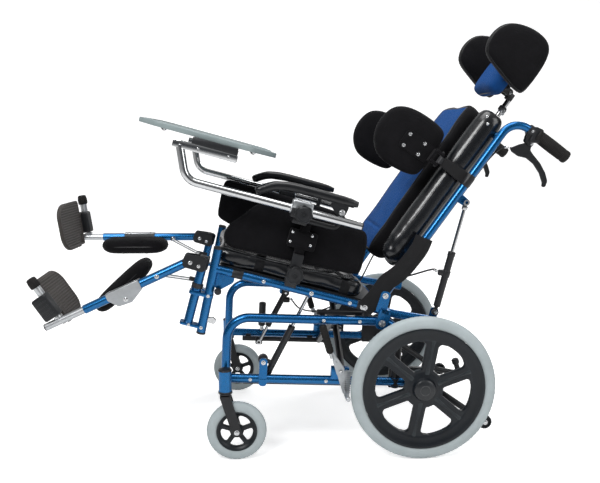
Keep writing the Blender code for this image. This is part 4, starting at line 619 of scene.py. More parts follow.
def base_frame(side, word):
    name = "base_frame_" + word
    x = side * BASE_X
    stem = caster_frame(side)
    tube_x = side * 0.224
    bar = [(tube_x, -0.03, 0.004), (tube_x, 0.02, -0.008), (tube_x, 0.19, -0.116)]
    bar += [(tube_x, 0.2686, -0.129), (tube_x, 0.253, -0.088)] if side < 0 else [(tube_x, 0.22, -0.121)]
    lower = BASE_LOW
    blue = [
        tube(BASE, [(x, -BASE_FRONT, lower - 0.031), (x, -BASE_FRONT, BASE_TOP), (x, -0.064, BASE_TOP),
            (x, -0.064, -0.02)], BASE_TUBE, [0, 0.06, 0.05, 0], 32),
        tube(BASE, [(x, -BASE_FRONT, lower), (x, -0.014, lower)], BASE_TUBE, 0, 32),
        weld(BASE, (x, -BASE_FRONT + 0.0125, lower), (0, 1, 0), BASE_TUBE),
        weld(BASE, (x, -0.064, lower + 0.0125), (0, 0, 1), BASE_TUBE),
        tube(stem, [(0, 0, -0.026), (0, 0, 0.033)], 0.0178, 0, 36),
        box(BASE, ((x + side * CASTER_X) / 2, -BASE_FRONT, lower + 0.004), (0.026, 0.018, 0.046),
            bevel=0.003),
        box(BASE, (side * 0.25, LOCK_PIVOT[0], 0.017), (0.022, 0.05, 0.034), bevel=0.002),
    ]
    if side > 0:
        u, w = LEFT_EYE
        blue += [
            plate(BASE, [(-u - 0.011, lower - 0.017), (-u + 0.011, lower - 0.017), (-u + 0.011, w + 0.012),
                (-u - 0.011, w + 0.012)], 0.2535, 0.26, bend=0.009),
            ring_band(BASE, (x, -u, lower), (0, 1, 0), BASE_TUBE, 0.022, 0.003),
        ]
    add(name + "_tubes", name, blue, BLUE, name)
    black = [
        turn_about(stem, [(0, 0.0395), (0.012, 0.039), (0.0175, 0.0365), (0.019, 0.033), (0.0178, 0.032)],
            36),
        turn_about(stem, [(0.0178, -0.024), (0.0192, -0.0245), (0.0192, -0.0275), (0, -0.0278)], 36),
        tube(BASE, bar, 0.009, 0.022, 20),
        box(BASE, (side * 0.2365, -0.028, 0.004), (0.014, 0.106, 0.062), bevel=0.004),
        # Black sleeve over the rear upright: painted shade, a dark cover where the blue tube lies in shadow
        # behind the wheel
        tube(BASE, [(x, -0.064, BASE_TOP - 0.056), (x, -0.064, -0.019)], BASE_TUBE + 0.0008, 0, 32, 0.0012),
        tube(BASE, [(x, -0.016, lower), (x, -0.009, lower)], BASE_TUBE + 0.0004, 0, 32, 0.003),
        tube(BASE, [(x, -0.064, -0.018), (x, -0.064, -0.0245)], BASE_TUBE + 0.0004, 0, 32, 0.003),
    ]
    for u in (0.175, 0.275):
        black.append(box(BASE, (side * 0.2247, -u, BASE_TOP + 0.002), (0.0226, 0.016, 0.014), bevel=0.003))
    for u in (0.26, 0.47):
        black.append(box(BASE, (side * 0.2342, -u, lower - 0.008), (0.0076, 0.018, 0.014), bevel=0.002))
    if side < 0:
        black.append(tube(BASE, [(tube_x, 0.256, -0.0955), (tube_x, 0.249, -0.077)], 0.012, 0, 24, 0.003))
        for k in range(3):
            black.append(ring_band(BASE, (tube_x, 0.2542 - 0.0018 * k, -0.0905 + 0.0047 * k),
                (0, -0.36, 0.93), 0.0115, 0.002, 0.0012, 24))
        black += [
            tube(BASE, [(x, -STOP_POST_U, 0.018), (x, -STOP_POST_U, 0.0994)], 0.012, 0, 28, 0.003),
            ring_band(BASE, (x, -STOP_POST_U, 0.04), (0, 0, 1), 0.012, 0.004, 0.001),
        ]
    add(name + "_plastics", name, black, PLASTIC)
    axle_y, axle_z = ANTI_TIP_AXLE
    lock_y, lock_z = LOCK_PIVOT
    metal = [
        pin(BASE, side * 0.236, side * 0.328, 0, 0, 0.0078, 24),
        pin(BASE, side * 0.238, side * 0.29, 0, 0, 0.0138, 28),
        nut(BASE, (side * 0.2298, 0, 0), (-side, 0, 0), 0.0125, 0.008),
        turn_about(facing(BASE, (side * 0.2436, 0, 0), (side, 0, 0)),
            [(0.0138, 0), (0.019, 0), (0.019, 0.002), (0.0138, 0.002)], 30, True),
        pin(BASE, side * 0.25, side * 0.2718, lock_y, lock_z, 0.0044, 18),
        side_bolt(BASE, side, 0.27, lock_y, lock_z, 0.0052, 0.003, False),
        pin(BASE, tube_x, side * 0.256, axle_y, axle_z, 0.0034, 18),
        side_bolt(BASE, side, 0.2535, axle_y, axle_z, 0.0058, 0.0034),
        pin(BASE, x, side * 0.268, -TILT_U, TILT_W, 0.006, 18),
        side_bolt(BASE, side, 0.2642, -TILT_U, TILT_W, 0.0082, 0.005),
        side_bolt(BASE, side, 0.2434, -0.058, 0.022, 0.004, 0.0026),
        side_bolt(BASE, side, 0.2434, 0.008, -0.014, 0.004, 0.0026),
        side_bolt(BASE, side, 0.2574, -0.196, lower, 0.0036, 0.0024),
    ]
    for u in (0.175, 0.275):
        metal.append(side_bolt(BASE, side, 0.2574, -u, BASE_TOP, 0.0038, 0.0024))
    for u in (0.26, 0.47):
        metal.append(side_bolt(BASE, side, 0.2574, -u, lower, 0.0038, 0.0024))
    if side > 0:
        u, w = LEFT_EYE
        metal += [
            pin(BASE, 0.256, LEFT_STRUT_X - 0.008, -u, w, 0.0041, 18),
            bolt(BASE, (0.2598, -u, w), (1, 0, 0), 0.0052, 0.0034),
            nut(BASE, (LEFT_STRUT_X - 0.0062, -u, w), (-1, 0, 0), 0.0056, 0.004),
        ]
    else:
        metal.append(tube(BASE, [(x, -STOP_POST_U, lower), (x, -STOP_POST_U, 0.022)], 0.0069, 0, 20))
    add(name + "_bolts", name, metal, BRIGHT)


def cross_brace():
    low = BASE_LOW - 0.015
    top = BASE_TOP + 0.012
    black = []
    for side, _ in SIDES:
        black += [
            tube(BASE, [(side * 0.222, -0.49, low), (side * 0.222, -0.19, low)], 0.008, 0, 24, 0.002),
            tube(BASE, [(side * 0.205, -0.29, top), (side * 0.205, -0.16, top)], 0.008, 0, 24, 0.002),
        ]
    for lean, u in ((1, 0.205), (-1, 0.23)):
        black += [
            tube(BASE, [(lean * 0.222, -u, low), (-lean * 0.205, -u, top)], 0.01, 0, 28),
            weld(BASE, (lean * 0.217, -u, low + 0.005), (-lean, 0, 0.5), 0.0102),
            weld(BASE, (-lean * 0.2, -u, top - 0.005), (lean, 0, -0.5), 0.0102),
        ]
    u, w = RIGHT_FOOT
    plate_x = -(RIGHT_STRUT_X + 0.0098)
    black.append(plate(BASE, [(-u - 0.012, w - 0.012), (-u + 0.012, w - 0.012), (-u + 0.012, low + 0.008),
        (-u - 0.012, low + 0.008)], plate_x - 0.0062, plate_x, bend=0.006))
    add("cross_brace_tubes", "cross_brace", black, SATIN, "cross_brace")
    middle = (low + top) / 2
    metal = [
        tube(BASE, [(0, -0.192, middle), (0, -0.243, middle)], 0.0058, 0, 20),
        bolt(BASE, (0, -0.2405, middle), (0, -1, 0), 0.0085, 0.0055),
        nut(BASE, (0, -0.1945, middle), (0, 1, 0), 0.009, 0.006),
    ]
    add("cross_brace_bolts", "cross_brace", metal, BRIGHT)


# Wheels

def tyre_section(radius, width, inner):
    """Tyre section from its outer side round the tread to its inner side, as (radius, x)."""
    steps = 16
    points = [(inner, width * 0.4)]
    for a in [pi * k / steps for k in range(steps + 1)]:
        points.append((inner + (radius - inner) * (0.18 + 0.82 * max(0.0, sin(a)) ** 0.62),
            width / 2 * (abs(cos(a)) ** 0.8) * (1 if cos(a) >= 0 else -1)))
    return points + [(inner, -width * 0.4)]


def tyre(frame, centre, radius, inner, width, steps, ribs):
    """Moulded tyre with two tread grooves and fine shoulder ribs."""
    grooved = []
    for r, x in tyre_section(radius, width, inner):
        dip = 0.001 * exp(-((abs(x) - width * 0.15) / 0.0012) ** 2) if r > radius - 0.006 else 0
        grooved.append((r - dip, x))
    shoulder = {i for i, (r, x) in enumerate(grooved) if radius - 0.0075 < r and abs(x) > width * 0.2}
    wave = (lambda i, k: -0.0007 if (i in shoulder and k % ribs == 0) else 0)
    return lathe(frame, centre, grooved, steps, True, wave)


def windows(inner, outer, spoke, count, phase, corner):
    """Openings between the spokes of a moulded wheel, as outlines with their corners."""
    half_turn = pi / count
    low = half_turn - asin(spoke / 2 / inner)
    high = half_turn - asin(spoke / 2 / outer)
    found = []
    for k in range(count):
        middle = phase + half_turn + k * 2 * half_turn
        ends = [(inner, middle - low), (outer, middle - high), (outer * 1.035, middle - high * 0.5),
            (outer * 1.045, middle), (outer * 1.035, middle + high * 0.5), (outer, middle + high),
            (inner, middle + low)]
        outline = [(r * cos(a), r * sin(a)) for r, a in ends]
        found.append((outline, [corner * 0.7, corner, 0.02, 0.02, 0.02, corner, corner * 0.7]))
    return found


def rear_wheel(side, word):
    name = "rear_rim_" + word
    centre = (side * REAR_WHEEL_X, 0, 0)
    at = frame_at(BASE, centre)
    openings = windows(0.054, 0.129, 0.034, 6, REAR_PHASE, 0.011)
    web = plate(at, circle(0.142, 96), -0.0072, 0.0072, bevel=0.0022, holes=openings)
    band = lathe(BASE, centre, mirrored([(0.1335, 0.007), (0.1365, 0.0086), (0.142, 0.0094), (0.15, 0.01),
        (0.157, 0.0122), (0.162, 0.0142), (0.166, 0.0146), (0.1684, 0.0136)]), 120, True)
    hub = lathe(BASE, centre, [(0.0085, 0.0205), (0.023, 0.0205), (0.029, 0.019), (0.031, 0.015),
        (0.033, 0.011), (0.042, 0.0078), (0.054, 0.0066), (0.054, -0.0066), (0.042, -0.0078),
        (0.033, -0.011), (0.03, -0.018), (0.027, -0.0255), (0.0095, -0.0258)], 64, True)
    parts = [web, band, hub]
    for k in range(6):
        angle = REAR_PHASE + k * pi / 3
        for face in (-1, 1):
            path = [at @ Vector((face * 0.007, r * cos(angle), r * sin(angle)))
                for r in (0.04, 0.056, 0.09, 0.118, 0.14)]
            half = (0.0075, 0.0052, 0.0036, 0.004, 0.007)
            parts.append(sweep(path, lambda i: [(half[i], 0), (half[i] * 0.55, 0.0016),
                (-half[i] * 0.55, 0.0016), (-half[i], 0), (0, -0.004)], up=up_of(at, (face, 0, 0))))
    add(name + "_moulding", name, parts, WHEEL, name)
    cap = side * 0.021
    cover = turn_about(facing(at, (cap - side * 0.004, 0, 0), (side, 0, 0)), [(0, 0.0088), (0.017, 0.0088),
        (0.019, 0.008), (0.0252, 0.0074), (0.0284, 0.005), (0.0292, 0.001), (0.0292, -0.003), (0, -0.003)],
        64)
    mark = turn_about(facing(at, (cap, 0, 0), (side, 0, 0)), [(0.012, 0.0047), (0.0132, 0.0054),
        (0.0144, 0.0047)], 64, True)
    add(name + "_cap", name, [cover, mark], HUB)
    name = "rear_tyre_" + word
    add(name + "_rubber", name, [tyre(BASE, centre, 0.1999, REAR_RIM_RADIUS + 0.0002, 0.0326, 288, 3)], TYRE,
        name, 60)


def caster(side, word):
    stem = caster_frame(side)
    height = (BASE @ Vector((0, -BASE_FRONT, BASE_LOW))).z
    axle = Vector((0, 0.0296, CASTER_WHEEL_RADIUS - height))
    inner, outer = 0.0162, 0.0202
    crown_top, crown_low = -0.0283, -0.0383
    lean = atan2(axle.y, crown_top - axle.z)
    ring = [(axle.y + 0.0129 * cos(a), axle.z + 0.0129 * sin(a)) for a in [lean - pi + radians(15) * k
        for k in range(13)]]
    outline = [(-0.015, crown_top - 0.0005), (-0.015, crown_low)] + ring + [(0.015, crown_low),
        (0.015, crown_top - 0.0005)]
    black = [box(stem, (0, 0, (crown_top + crown_low) / 2), (2 * outer, 0.03, 0.0096), bevel=0.003,
        segments=3)]
    for lateral in (-1, 1):
        low, high = sorted((lateral * inner, lateral * outer))
        black.append(plate(stem, outline, low, high, bevel=0.001))
    name = "caster_fork_" + word
    add(name + "_legs", name, black, SATIN, name)
    metal = [
        tube(stem, [(0, 0, crown_low), (0, 0, 0.02)], 0.0083, 0, 24),
        turn_about(stem, [(0.018, crown_top + 0.0002), (0.0195, crown_top - 0.0006),
            (0.0195, crown_top - 0.0028), (0.015, crown_top - 0.0032)], 36, True),
        pin(stem, -outer - 0.003, outer + 0.003, axle.y, axle.z, 0.0044, 20),
    ]
    for lateral in (-1, 1):
        metal.append(bolt(stem, (lateral * outer, axle.y, axle.z), (lateral, 0, 0), 0.0058, 0.0038))
    add(name + "_bolts", name, metal, BRIGHT)
    at = frame_at(stem, axle)
    openings = windows(0.02, 0.043, 0.0115, 5, radians(18), 0.0048)
    rim = [
        plate(at, circle(0.05, 72), -0.006, 0.006, bevel=0.0018, holes=openings),
        lathe(stem, axle, mirrored([(0.0455, 0.0055), (0.048, 0.008), (0.053, 0.0115), (0.0556, 0.0118)]),
            72, True),
        lathe(stem, axle, mirrored([(0.0052, 0.0128), (0.0125, 0.0128), (0.0145, 0.0115), (0.0175, 0.0062)]),
            40, True),
    ]
    name = "caster_wheel_" + word
    add(name + "_rim", name, rim, WHEEL, name)
    add(name + "_tyre", name, [tyre(stem, axle, 0.0819, 0.0552, 0.028, 160, 4)], TYRE, sharp=60)


def wheel_lock(side, word):
    name = "wheel_lock_lever_" + word
    pivot_y, pivot_z = LOCK_PIVOT
    x = side * 0.2695
    low, high = sided(side, 0.2615, 0.2665)
    shoe_y, shoe_z = -0.2055, -0.035
    top_y, top_z = -0.254, 0.083
    metal = [
        plate(BASE, [(pivot_y - 0.011, pivot_z - 0.004), (shoe_y - 0.007, shoe_z - 0.004),
            (shoe_y + 0.006, shoe_z - 0.006), (pivot_y + 0.012, pivot_z), (pivot_y + 0.004, pivot_z + 0.012),
            (top_y + 0.006, top_z), (top_y - 0.006, top_z), (pivot_y - 0.009, pivot_z + 0.01)], low, high,
            bend=0.006),
        plate(BASE, [(-0.247, 0.058), (-0.235, 0.066), (-0.212, 0.035), (-0.206, 0.002), (-0.213, -0.012),
            (-0.233, 0.018)], low - 0.001, high + 0.0015, bend=0.005),
        plate(BASE, [(-0.209, 0.03), (-0.194, 0.026), (-0.194, -0.043), (-0.201, -0.049), (-0.209, -0.042)],
            low, high, bend=0.003),
        pin(BASE, side * 0.262, side * 0.326, shoe_y, shoe_z, 0.0058, 24),
        tube(BASE, [(x, top_y + 0.006, top_z - 0.02), (x, -0.262, 0.1)], 0.0052, 0, 20),
        side_bolt(BASE, side, 0.2665, -0.236, 0.052, 0.004, 0.0026),
    ]
    for k in range(11):
        metal.append(box(BASE, ((low + high) / 2, -0.2015, 0.024 - 0.006 * k), (high - low + 0.0016, 0.019,
            0.0028), bevel=0.0008))
    for k in range(9):
        metal.append(ring_band(BASE, (side * (0.288 + 0.0044 * k), shoe_y, shoe_z), (1, 0, 0), 0.0057,
            0.0022, 0.0008, 20))
    add("wheel_lock_" + word + "_lever", name, metal, SILVER, name)
    grip = [tube(BASE, [(x, -0.2528, 0.077), (x, -0.28, 0.156)], 0.01, 0, 28, 0.004)]
    for k in range(7):
        share = 0.16 + k * 0.11
        grip.append(ring_band(BASE, (x, -0.2528 - 0.0272 * share, 0.077 + 0.079 * share), (0, -0.325, 0.945),
            0.0096, 0.004, 0.001, 28))
    add("wheel_lock_" + word + "_grip", name, grip, RUBBER)


def anti_tip_wheel(side, word):
    name = "anti_tip_wheel_" + word
    profile = mirrored([(0.0042, 0.0062), (0.009, 0.0062), (0.0115, 0.004), (0.014, 0.0042), (0.016, 0.0074),
        (0.0182, 0.0078), (0.0197, 0.005)], [(0.0199, 0)])
    add(name + "_roller", name, [lathe(BASE, (side * BASE_X, *ANTI_TIP_AXLE), profile, 48, True)], WHEEL,
        name)


# Tilt struts

BARREL_RADIUS = 0.0095
ROD_RADIUS = 0.0049


def strut_barrel(start, along, reach):
    """Barrel of a telescopic strut from a world point, with its end collars."""
    return [tube(WORLD, [start, start + along * reach], BARREL_RADIUS - 0.0002, 0, 32, 0.002),
        ring_band(WORLD, start + along * (reach - 0.006), along, BARREL_RADIUS - 0.0004, 0.01, 0.0009),
        ring_band(WORLD, start + along * 0.007, along, BARREL_RADIUS - 0.0004, 0.008, 0.0009)]


def left_tilt_strut():
    eye = BASE @ Vector((LEFT_STRUT_X, -LEFT_EYE[0], LEFT_EYE[1]))
    head = SEAT @ Vector((LEFT_STRUT_X, -LEFT_HEAD[0], LEFT_HEAD[1]))
    offset = 0.03
    reach = sqrt((head - eye).length_squared - offset ** 2)
    direction = Matrix.Rotation(asin(offset / (head - eye).length), 3, "X") @ (head - eye).normalized()
    across = Vector((0, direction.z, -direction.y))
    low = eye + across * offset - direction * 0.034
    barrel = strut_barrel(low, direction, 0.155)
    barrel += [
        lathe(WORLD, eye, mirrored([(0.005, 0.0069), (0.012, 0.0069), (0.0138, 0.0052)]), 40, True),
        tube(WORLD, [eye, eye + across * (offset - 0.0062)], 0.0064, 0, 20),
    ]
    add("tilt_strut_left_barrel", "tilt_cylinder_left", barrel, SATIN, "tilt_cylinder_left")
    rod_end = low + direction * (reach + 0.034)
    metal = [
        tube(WORLD, [low + direction * 0.071, rod_end - direction * 0.004], ROD_RADIUS, 0, 24),
        lathe(WORLD, rod_end, mirrored([(0.0042, 0.0054), (0.0078, 0.0054), (0.0089, 0.0042)]), 32, True),
        turn_about(facing(WORLD, rod_end - direction * 0.018, direction),
            [(0, 0), (0.0068, 0), (0.0072, 0.0006), (0.0072, 0.0074), (0.0068, 0.008), (0, 0.008)], 6),
    ]
    add("tilt_strut_left_rod", "tilt_rod_left", metal, CHROME, "tilt_rod_left")


def right_tilt_strut():
    foot = BASE @ Vector((-RIGHT_STRUT_X, -RIGHT_FOOT[0], RIGHT_FOOT[1]))
    head = SEAT @ Vector((-RIGHT_STRUT_X, -RIGHT_HEAD[0], RIGHT_HEAD[1]))
    down = (foot - head).normalized()
    barrel = strut_barrel(head, down, 0.128)
    rear = Vector((0, -down.z, down.y))
    barrel += [
        box(WORLD, head + down * 0.02 + rear * 0.014, (0.0138, 0.0218, 0.0178), bevel=0.003),
        lathe(WORLD, head, mirrored([(0.005, 0.0089), (0.01, 0.0089), (0.0118, 0.007)]), 40, True),
    ]
    add("tilt_strut_right_barrel", "tilt_cylinder_right", barrel, SATIN, "tilt_cylinder_right")
    metal = [
        tube(WORLD, [head + down * 0.068, foot - down * 0.004], ROD_RADIUS, 0, 24),
        lathe(WORLD, foot, mirrored([(0.0042, 0.0054), (0.0078, 0.0054), (0.0089, 0.0042)]), 32, True),
    ]
    add("tilt_strut_right_rod", "tilt_rod_right", metal, CHROME, "tilt_rod_right")


def recline_strut(side, word):
    x = side * SEAT_X
    foot = SEAT @ Vector((x, *RECLINE_FOOT))
    head = BACK @ Vector((x, *RECLINE_HEAD))
    up = (head - foot).normalized()
    rear = Vector((0, up.z, -up.y))
    barrel = [
        tube(WORLD, [foot + up * 0.0165, foot + up * 0.176], 0.0098, 0, 32, 0.002),
        tube(WORLD, [foot + up * 0.006, foot + up * 0.02], 0.0054, 0, 20),
        ring_band(WORLD, foot + up * 0.169, up, 0.0096, 0.012, 0.001),
        lathe(WORLD, foot, mirrored([(0.005, 0.0059), (0.0082, 0.0059), (0.0094, 0.0046)]), 32, True),
    ]
    if side > 0:
        barrel += [
            box(WORLD, foot + up * 0.112 - rear * 0.014, (0.0138, 0.0178, 0.0158), bevel=0.003),
            ring_band(WORLD, foot + up * 0.112, up, 0.0096, 0.018, 0.002),
        ]
    name = "recline_cylinder_" + word
    add("recline_strut_" + word + "_barrel", name, barrel, SATIN, name)
    turn = atan2(up.z, up.y)
    metal = [
        tube(WORLD, [foot + up * 0.106, head - up * 0.004], ROD_RADIUS, 0, 24),
        box(WORLD, head - up * 0.014, (0.0118, 0.0138, 0.0138), turn, 0.0015),
        lathe(WORLD, head, mirrored([(0.0042, 0.0059), (0.0078, 0.0059), (0.0089, 0.0046)]), 32, True),
    ]
    name = "recline_rod_" + word
    add("recline_strut_" + word + "_rod", name, metal, CHROME, name)


# Seat

def seat_frame():
    blue, metal, black = [], [], []
    for side, _ in SIDES:
        x = side * SEAT_X
        blue += [
            tube(SEAT, [(x, -0.48, RAIL_B), (x, 0.033, RAIL_B), (x, 0.134, 0.039), (x, 0.155, 0.04)],
                SEAT_TUBE, [0, 0.1, 0.1, 0], 32),
            tube(SEAT, [(x, -0.486, 0.09), (x, -0.474, -0.153)], 0.0125, 0, 32),
            plate(SEAT, [(-0.4, RAIL_B - 0.004), (-0.476, RAIL_B - 0.004), (-0.472, -0.04)], x - 0.0025,
                x + 0.0025, bend=[0.02, 0.002, 0.02]),
            weld(SEAT, (x, -0.47, RAIL_B), (0, 1, 0), SEAT_TUBE),
        ]
        near, far = sided(side, 0.2455, 0.2636)
        blue.append(box(SEAT, ((near + far) / 2, 0, 0.033), (far - near, 0.024, 0.016), bevel=0.002))
        low, high = sided(side, 0.2586, 0.2636)
        blue.append(plate(SEAT, [(-0.017, -0.017), (0.017, -0.017), (0.017, 0.04), (-0.017, 0.04)], low,
            high, bend=0.012))
        low, high = sided(side, 0.2532, 0.2582)
        blue += [
            box(SEAT, (side * 0.248, -RECLINE_U, 0.033), (0.016, 0.03, 0.012), bevel=0.002),
            plate(SEAT, [(-RECLINE_U - 0.016, 0.026), (-RECLINE_U + 0.016, 0.026),
                (-RECLINE_U + 0.013, RECLINE_B + 0.013), (-RECLINE_U - 0.013, RECLINE_B + 0.013)], low, high,
                bend=0.01),
        ]
        metal += [
            tube(SEAT, [(side * 0.2555, -RECLINE_U, RECLINE_B), (side * 0.229, -RECLINE_U, RECLINE_B)],
                0.0044, 0, 18),
            side_bolt(SEAT, side, 0.2582, -RECLINE_U, RECLINE_B, 0.0066, 0.0042),
        ]
        y, z = RECLINE_FOOT
        low, high = sided(side, 0.2295, 0.2335)
        blue.append(plate(SEAT, [(y - 0.012, 0.036), (y + 0.012, 0.036), (y + 0.011, z + 0.011),
            (y - 0.011, z + 0.011)], low, high, bend=0.008))
        metal += [
            pin(SEAT, side * 0.228, side * 0.25, y, z, 0.0041, 18),
            nut(SEAT, (side * 0.2475, y, z), (side, 0, 0), 0.006, 0.0032),
        ]
        black.append(box(SEAT, (side * 0.237, -0.272, 0.058), (0.03, 0.034, 0.056), bevel=0.003))
        # Brackets that hold the leg hanger
        for b, thick, tip in ((-0.045, 0.01, 0.018), (-0.1345, 0.008, 0.022)):
            near, far = side * (LEG_X - 0.0165), side * (LEG_X + 0.0165)
            blue.append(plate(SEAT, [(far, -0.466), (far, -HANGER_U - tip), (near, -HANGER_U - tip),
                (near, -0.466)], b - thick / 2, b + thick / 2, axis="Z", bend=0.008, bevel=0.001))
        metal += [
            side_bolt(SEAT, side, 0.2535, -0.48, -0.045, 0.0038, 0.0024),
            side_bolt(SEAT, side, 0.2535, -0.477, -0.1345, 0.0038, 0.0024),
            side_bolt(SEAT, side, 0.2535, -0.512, -0.1345, 0.0034, 0.0022),
        ]
        # Release knob and lower catch
        black.append(turn_about(facing(SEAT, (side * 0.249, -0.458, -0.025), (side, 0, 0)),
            [(0.006, -0.006), (0.007, 0), (0.0094, 0.002), (0.0095, 0.012), (0.0075, 0.0155), (0, 0.016)],
            30))
        metal.append(plate(SEAT, [(-0.474, -0.116), (-0.474, -0.108), (-0.452, -0.1), (-0.44, -0.107),
            (-0.446, -0.119)], x - 0.0055, x + 0.0055, bend=0.004))
        # Bolts along the rail
        for u in (0.1, 0.345):
            metal.append(side_bolt(SEAT, side, 0.2523, -u, RAIL_B, 0.0042, 0.0026))
        black += [
            ring_band(SEAT, (x, -0.418, RAIL_B), (0, 1, 0), SEAT_TUBE - 0.0004, 0.03, 0.0012),
            ring_band(SEAT, (x, -0.062, RAIL_B), (0, 1, 0), SEAT_TUBE - 0.0004, 0.034, 0.0014),
            turn_about(facing(SEAT, (x, -0.486, 0.0885), (0, -0.05, 1)), [(0.0128, -0.004), (0.013, 0.001),
                (0.011, 0.003), (0, 0.004)], 32),
            turn_about(facing(SEAT, (x, -0.474, -0.1515), (0, 0.05, -1)), [(0.0128, -0.004), (0.013, 0.001),
                (0.011, 0.0024), (0, 0.003)], 32),
        ]
    for u in (0.02, 0.44):
        blue.append(pin(SEAT, -SEAT_X, SEAT_X, -u, 0.029, 0.009, 28))
    board = [(-0.208, -0.47), (0.208, -0.47), (0.208, -0.012), (-0.208, -0.012)]
    black.append(plate(SEAT, board, 0.034, 0.042, axis="Z", bend=0.02, bevel=0.0015))
    u, b = LEFT_HEAD
    metal.append(bolt(SEAT, (SEAT_X + 0.0112, -u, b), (1, 0, 0), 0.005, 0.0036))
    u, b = RIGHT_HEAD
    outline = [(-u - 0.024, 0.035), (-u - 0.02, b - 0.01), (-u + 0.012, b - 0.012), (-u + 0.024, 0.035)]
    blue += [
        plate(SEAT, outline, -0.2175, -0.2125, bend=0.01),
        box(SEAT, (-0.227, -u, 0.031), (0.022, 0.04, 0.01), bevel=0.002),
    ]
    metal += [
        pin(SEAT, -0.2155, -0.189, -u, b, 0.0041, 18),
        bolt(SEAT, (-0.2173, -u, b), (-1, 0, 0), 0.0056, 0.0036),
    ]
    add("seat_frame_tubes", "seat_frame", blue, BLUE, "seat_frame")
    add("seat_frame_fittings", "seat_frame", black, PLASTIC)
    add("seat_frame_bolts", "seat_frame", metal, BRIGHT)


# Arms

ARM_U, ARM_B = 0.193, 0.268


def star_knob(frame, centre, side):
    """Seven-lobed clamp knob on its collar, about the lateral axis."""
    outline = []
    for angle in [2 * pi * k / 84 for k in range(84)]:
        r = 0.0238 + 0.0015 * cos(7 * angle)
        outline.append((r * cos(angle), r * sin(angle)))
    at = frame_at(frame, centre)
    low, high = sorted((side * -0.006, side * 0.005))
    face = turn_about(facing(at, (side * 0.004, 0, 0), (side, 0, 0)), [(0, 0.0012), (0.006, 0.0012),
        (0.0068, 0.0032), (0.0175, 0.0032), (0.0195, 0.0012), (0.02, -0.001)], 48)
    collar = turn_about(facing(at, (side * -0.019, 0, 0), (side, 0, 0)), [(0.009, 0), (0.0094, 0.002),
        (0.009, 0.013), (0, 0.013)], 36)
    return [plate(at, outline, low, high, bevel=0.0022), face, collar]


def arm_support(side, word):
    low, high = sided(side, 0.223, 0.25)
    name = "arm_support_" + word
    black = [
        box(SEAT, (side * 0.2545, -0.272, 0.092), (0.0045, 0.03, 0.07), bevel=0.0015),
        box(SEAT, (side * 0.2515, -0.272, 0.105), (0.006, 0.024, 0.03), bevel=0.0015),
    ]
    black += [
        box(SEAT, (side * TRAY_TUBE_X, -0.3015, 0.2385), (0.0304, 0.054, 0.025), bevel=0.003),
        box(SEAT, (side * 0.265, -0.298, 0.22), (0.06, 0.04, 0.02), bevel=0.0025),
    ]
    black += star_knob(SEAT, (side * 0.274, -0.27, 0.072), side)
    black += star_knob(SEAT, (side * 0.325, -0.296, 0.241), side)
    x = side * 0.266
    black.append(tube(SEAT, [(x, -0.3, 0.222), (x, -ARM_U, 0.222), (x, -ARM_U, ARM_B)], 0.0069, 0.014, 24))
    add(name + "_plastics", name, black, PLASTIC, name)
    wrap = [
        box(SEAT, (side * 0.237, -0.272, 0.166), (0.0275, 0.078, 0.05), bevel=0.006, segments=4),
        box(SEAT, ((low + high) / 2, -0.272, (0.0866 + 0.235) / 2), (high - low - 0.002, 0.026,
            0.235 - 0.0866), bevel=0.004),
    ]
    add(name + "_wrap", name, wrap, CLOTH)
    rivets = []
    for y, b in ((-0.3035, 0.1824), (-0.3038, 0.1557), (-0.2492, 0.184), (-0.2475, 0.1576)):
        rivets.append(turn_about(facing(SEAT, (side * 0.2503, y, b), (side, 0, 0)),
            [(0, 0.0026), (0.0022, 0.0024), (0.0038, 0.0014), (0.0044, 0.0003), (0.0044, -0.001)], 24))
    add(name + "_rivets", name, rivets, BRIGHT)
    metal = [
        box(SEAT, (side * TRAY_TUBE_X, -0.3015, 0.261), (0.03, 0.056, 0.022), bevel=0.004, segments=3),
        ring_band(SEAT, (side * TRAY_TUBE_X, -0.2735, TRAY_TUBE_B), (0, 1, 0), 0.0114, 0.004, 0.0022),
        ring_band(SEAT, (side * TRAY_TUBE_X, -0.3295, TRAY_TUBE_B), (0, 1, 0), 0.0114, 0.004, 0.0022),
    ]
    add(name + "_clamps", name, metal, SILVER)
    pins = [
        pin(SEAT, x, side * 0.2852, -ARM_U, ARM_B, 0.0039, 18),
        side_bolt(SEAT, side, 0.2818, -ARM_U, ARM_B, 0.0072, 0.0046),
    ]
    for u in (0.285, 0.318):
        pins.append(bolt(SEAT, (side * TRAY_TUBE_X, -u, 0.272), (0, 0, 1), 0.0036, 0.0024))
    add(name + "_pins", name, pins, BRIGHT)


ARM_PAD_PATH = ((0.155, 0.299), (0.317, 0.299), (0.37, 0.2935), (0.394, 0.285), (0.429, 0.263))


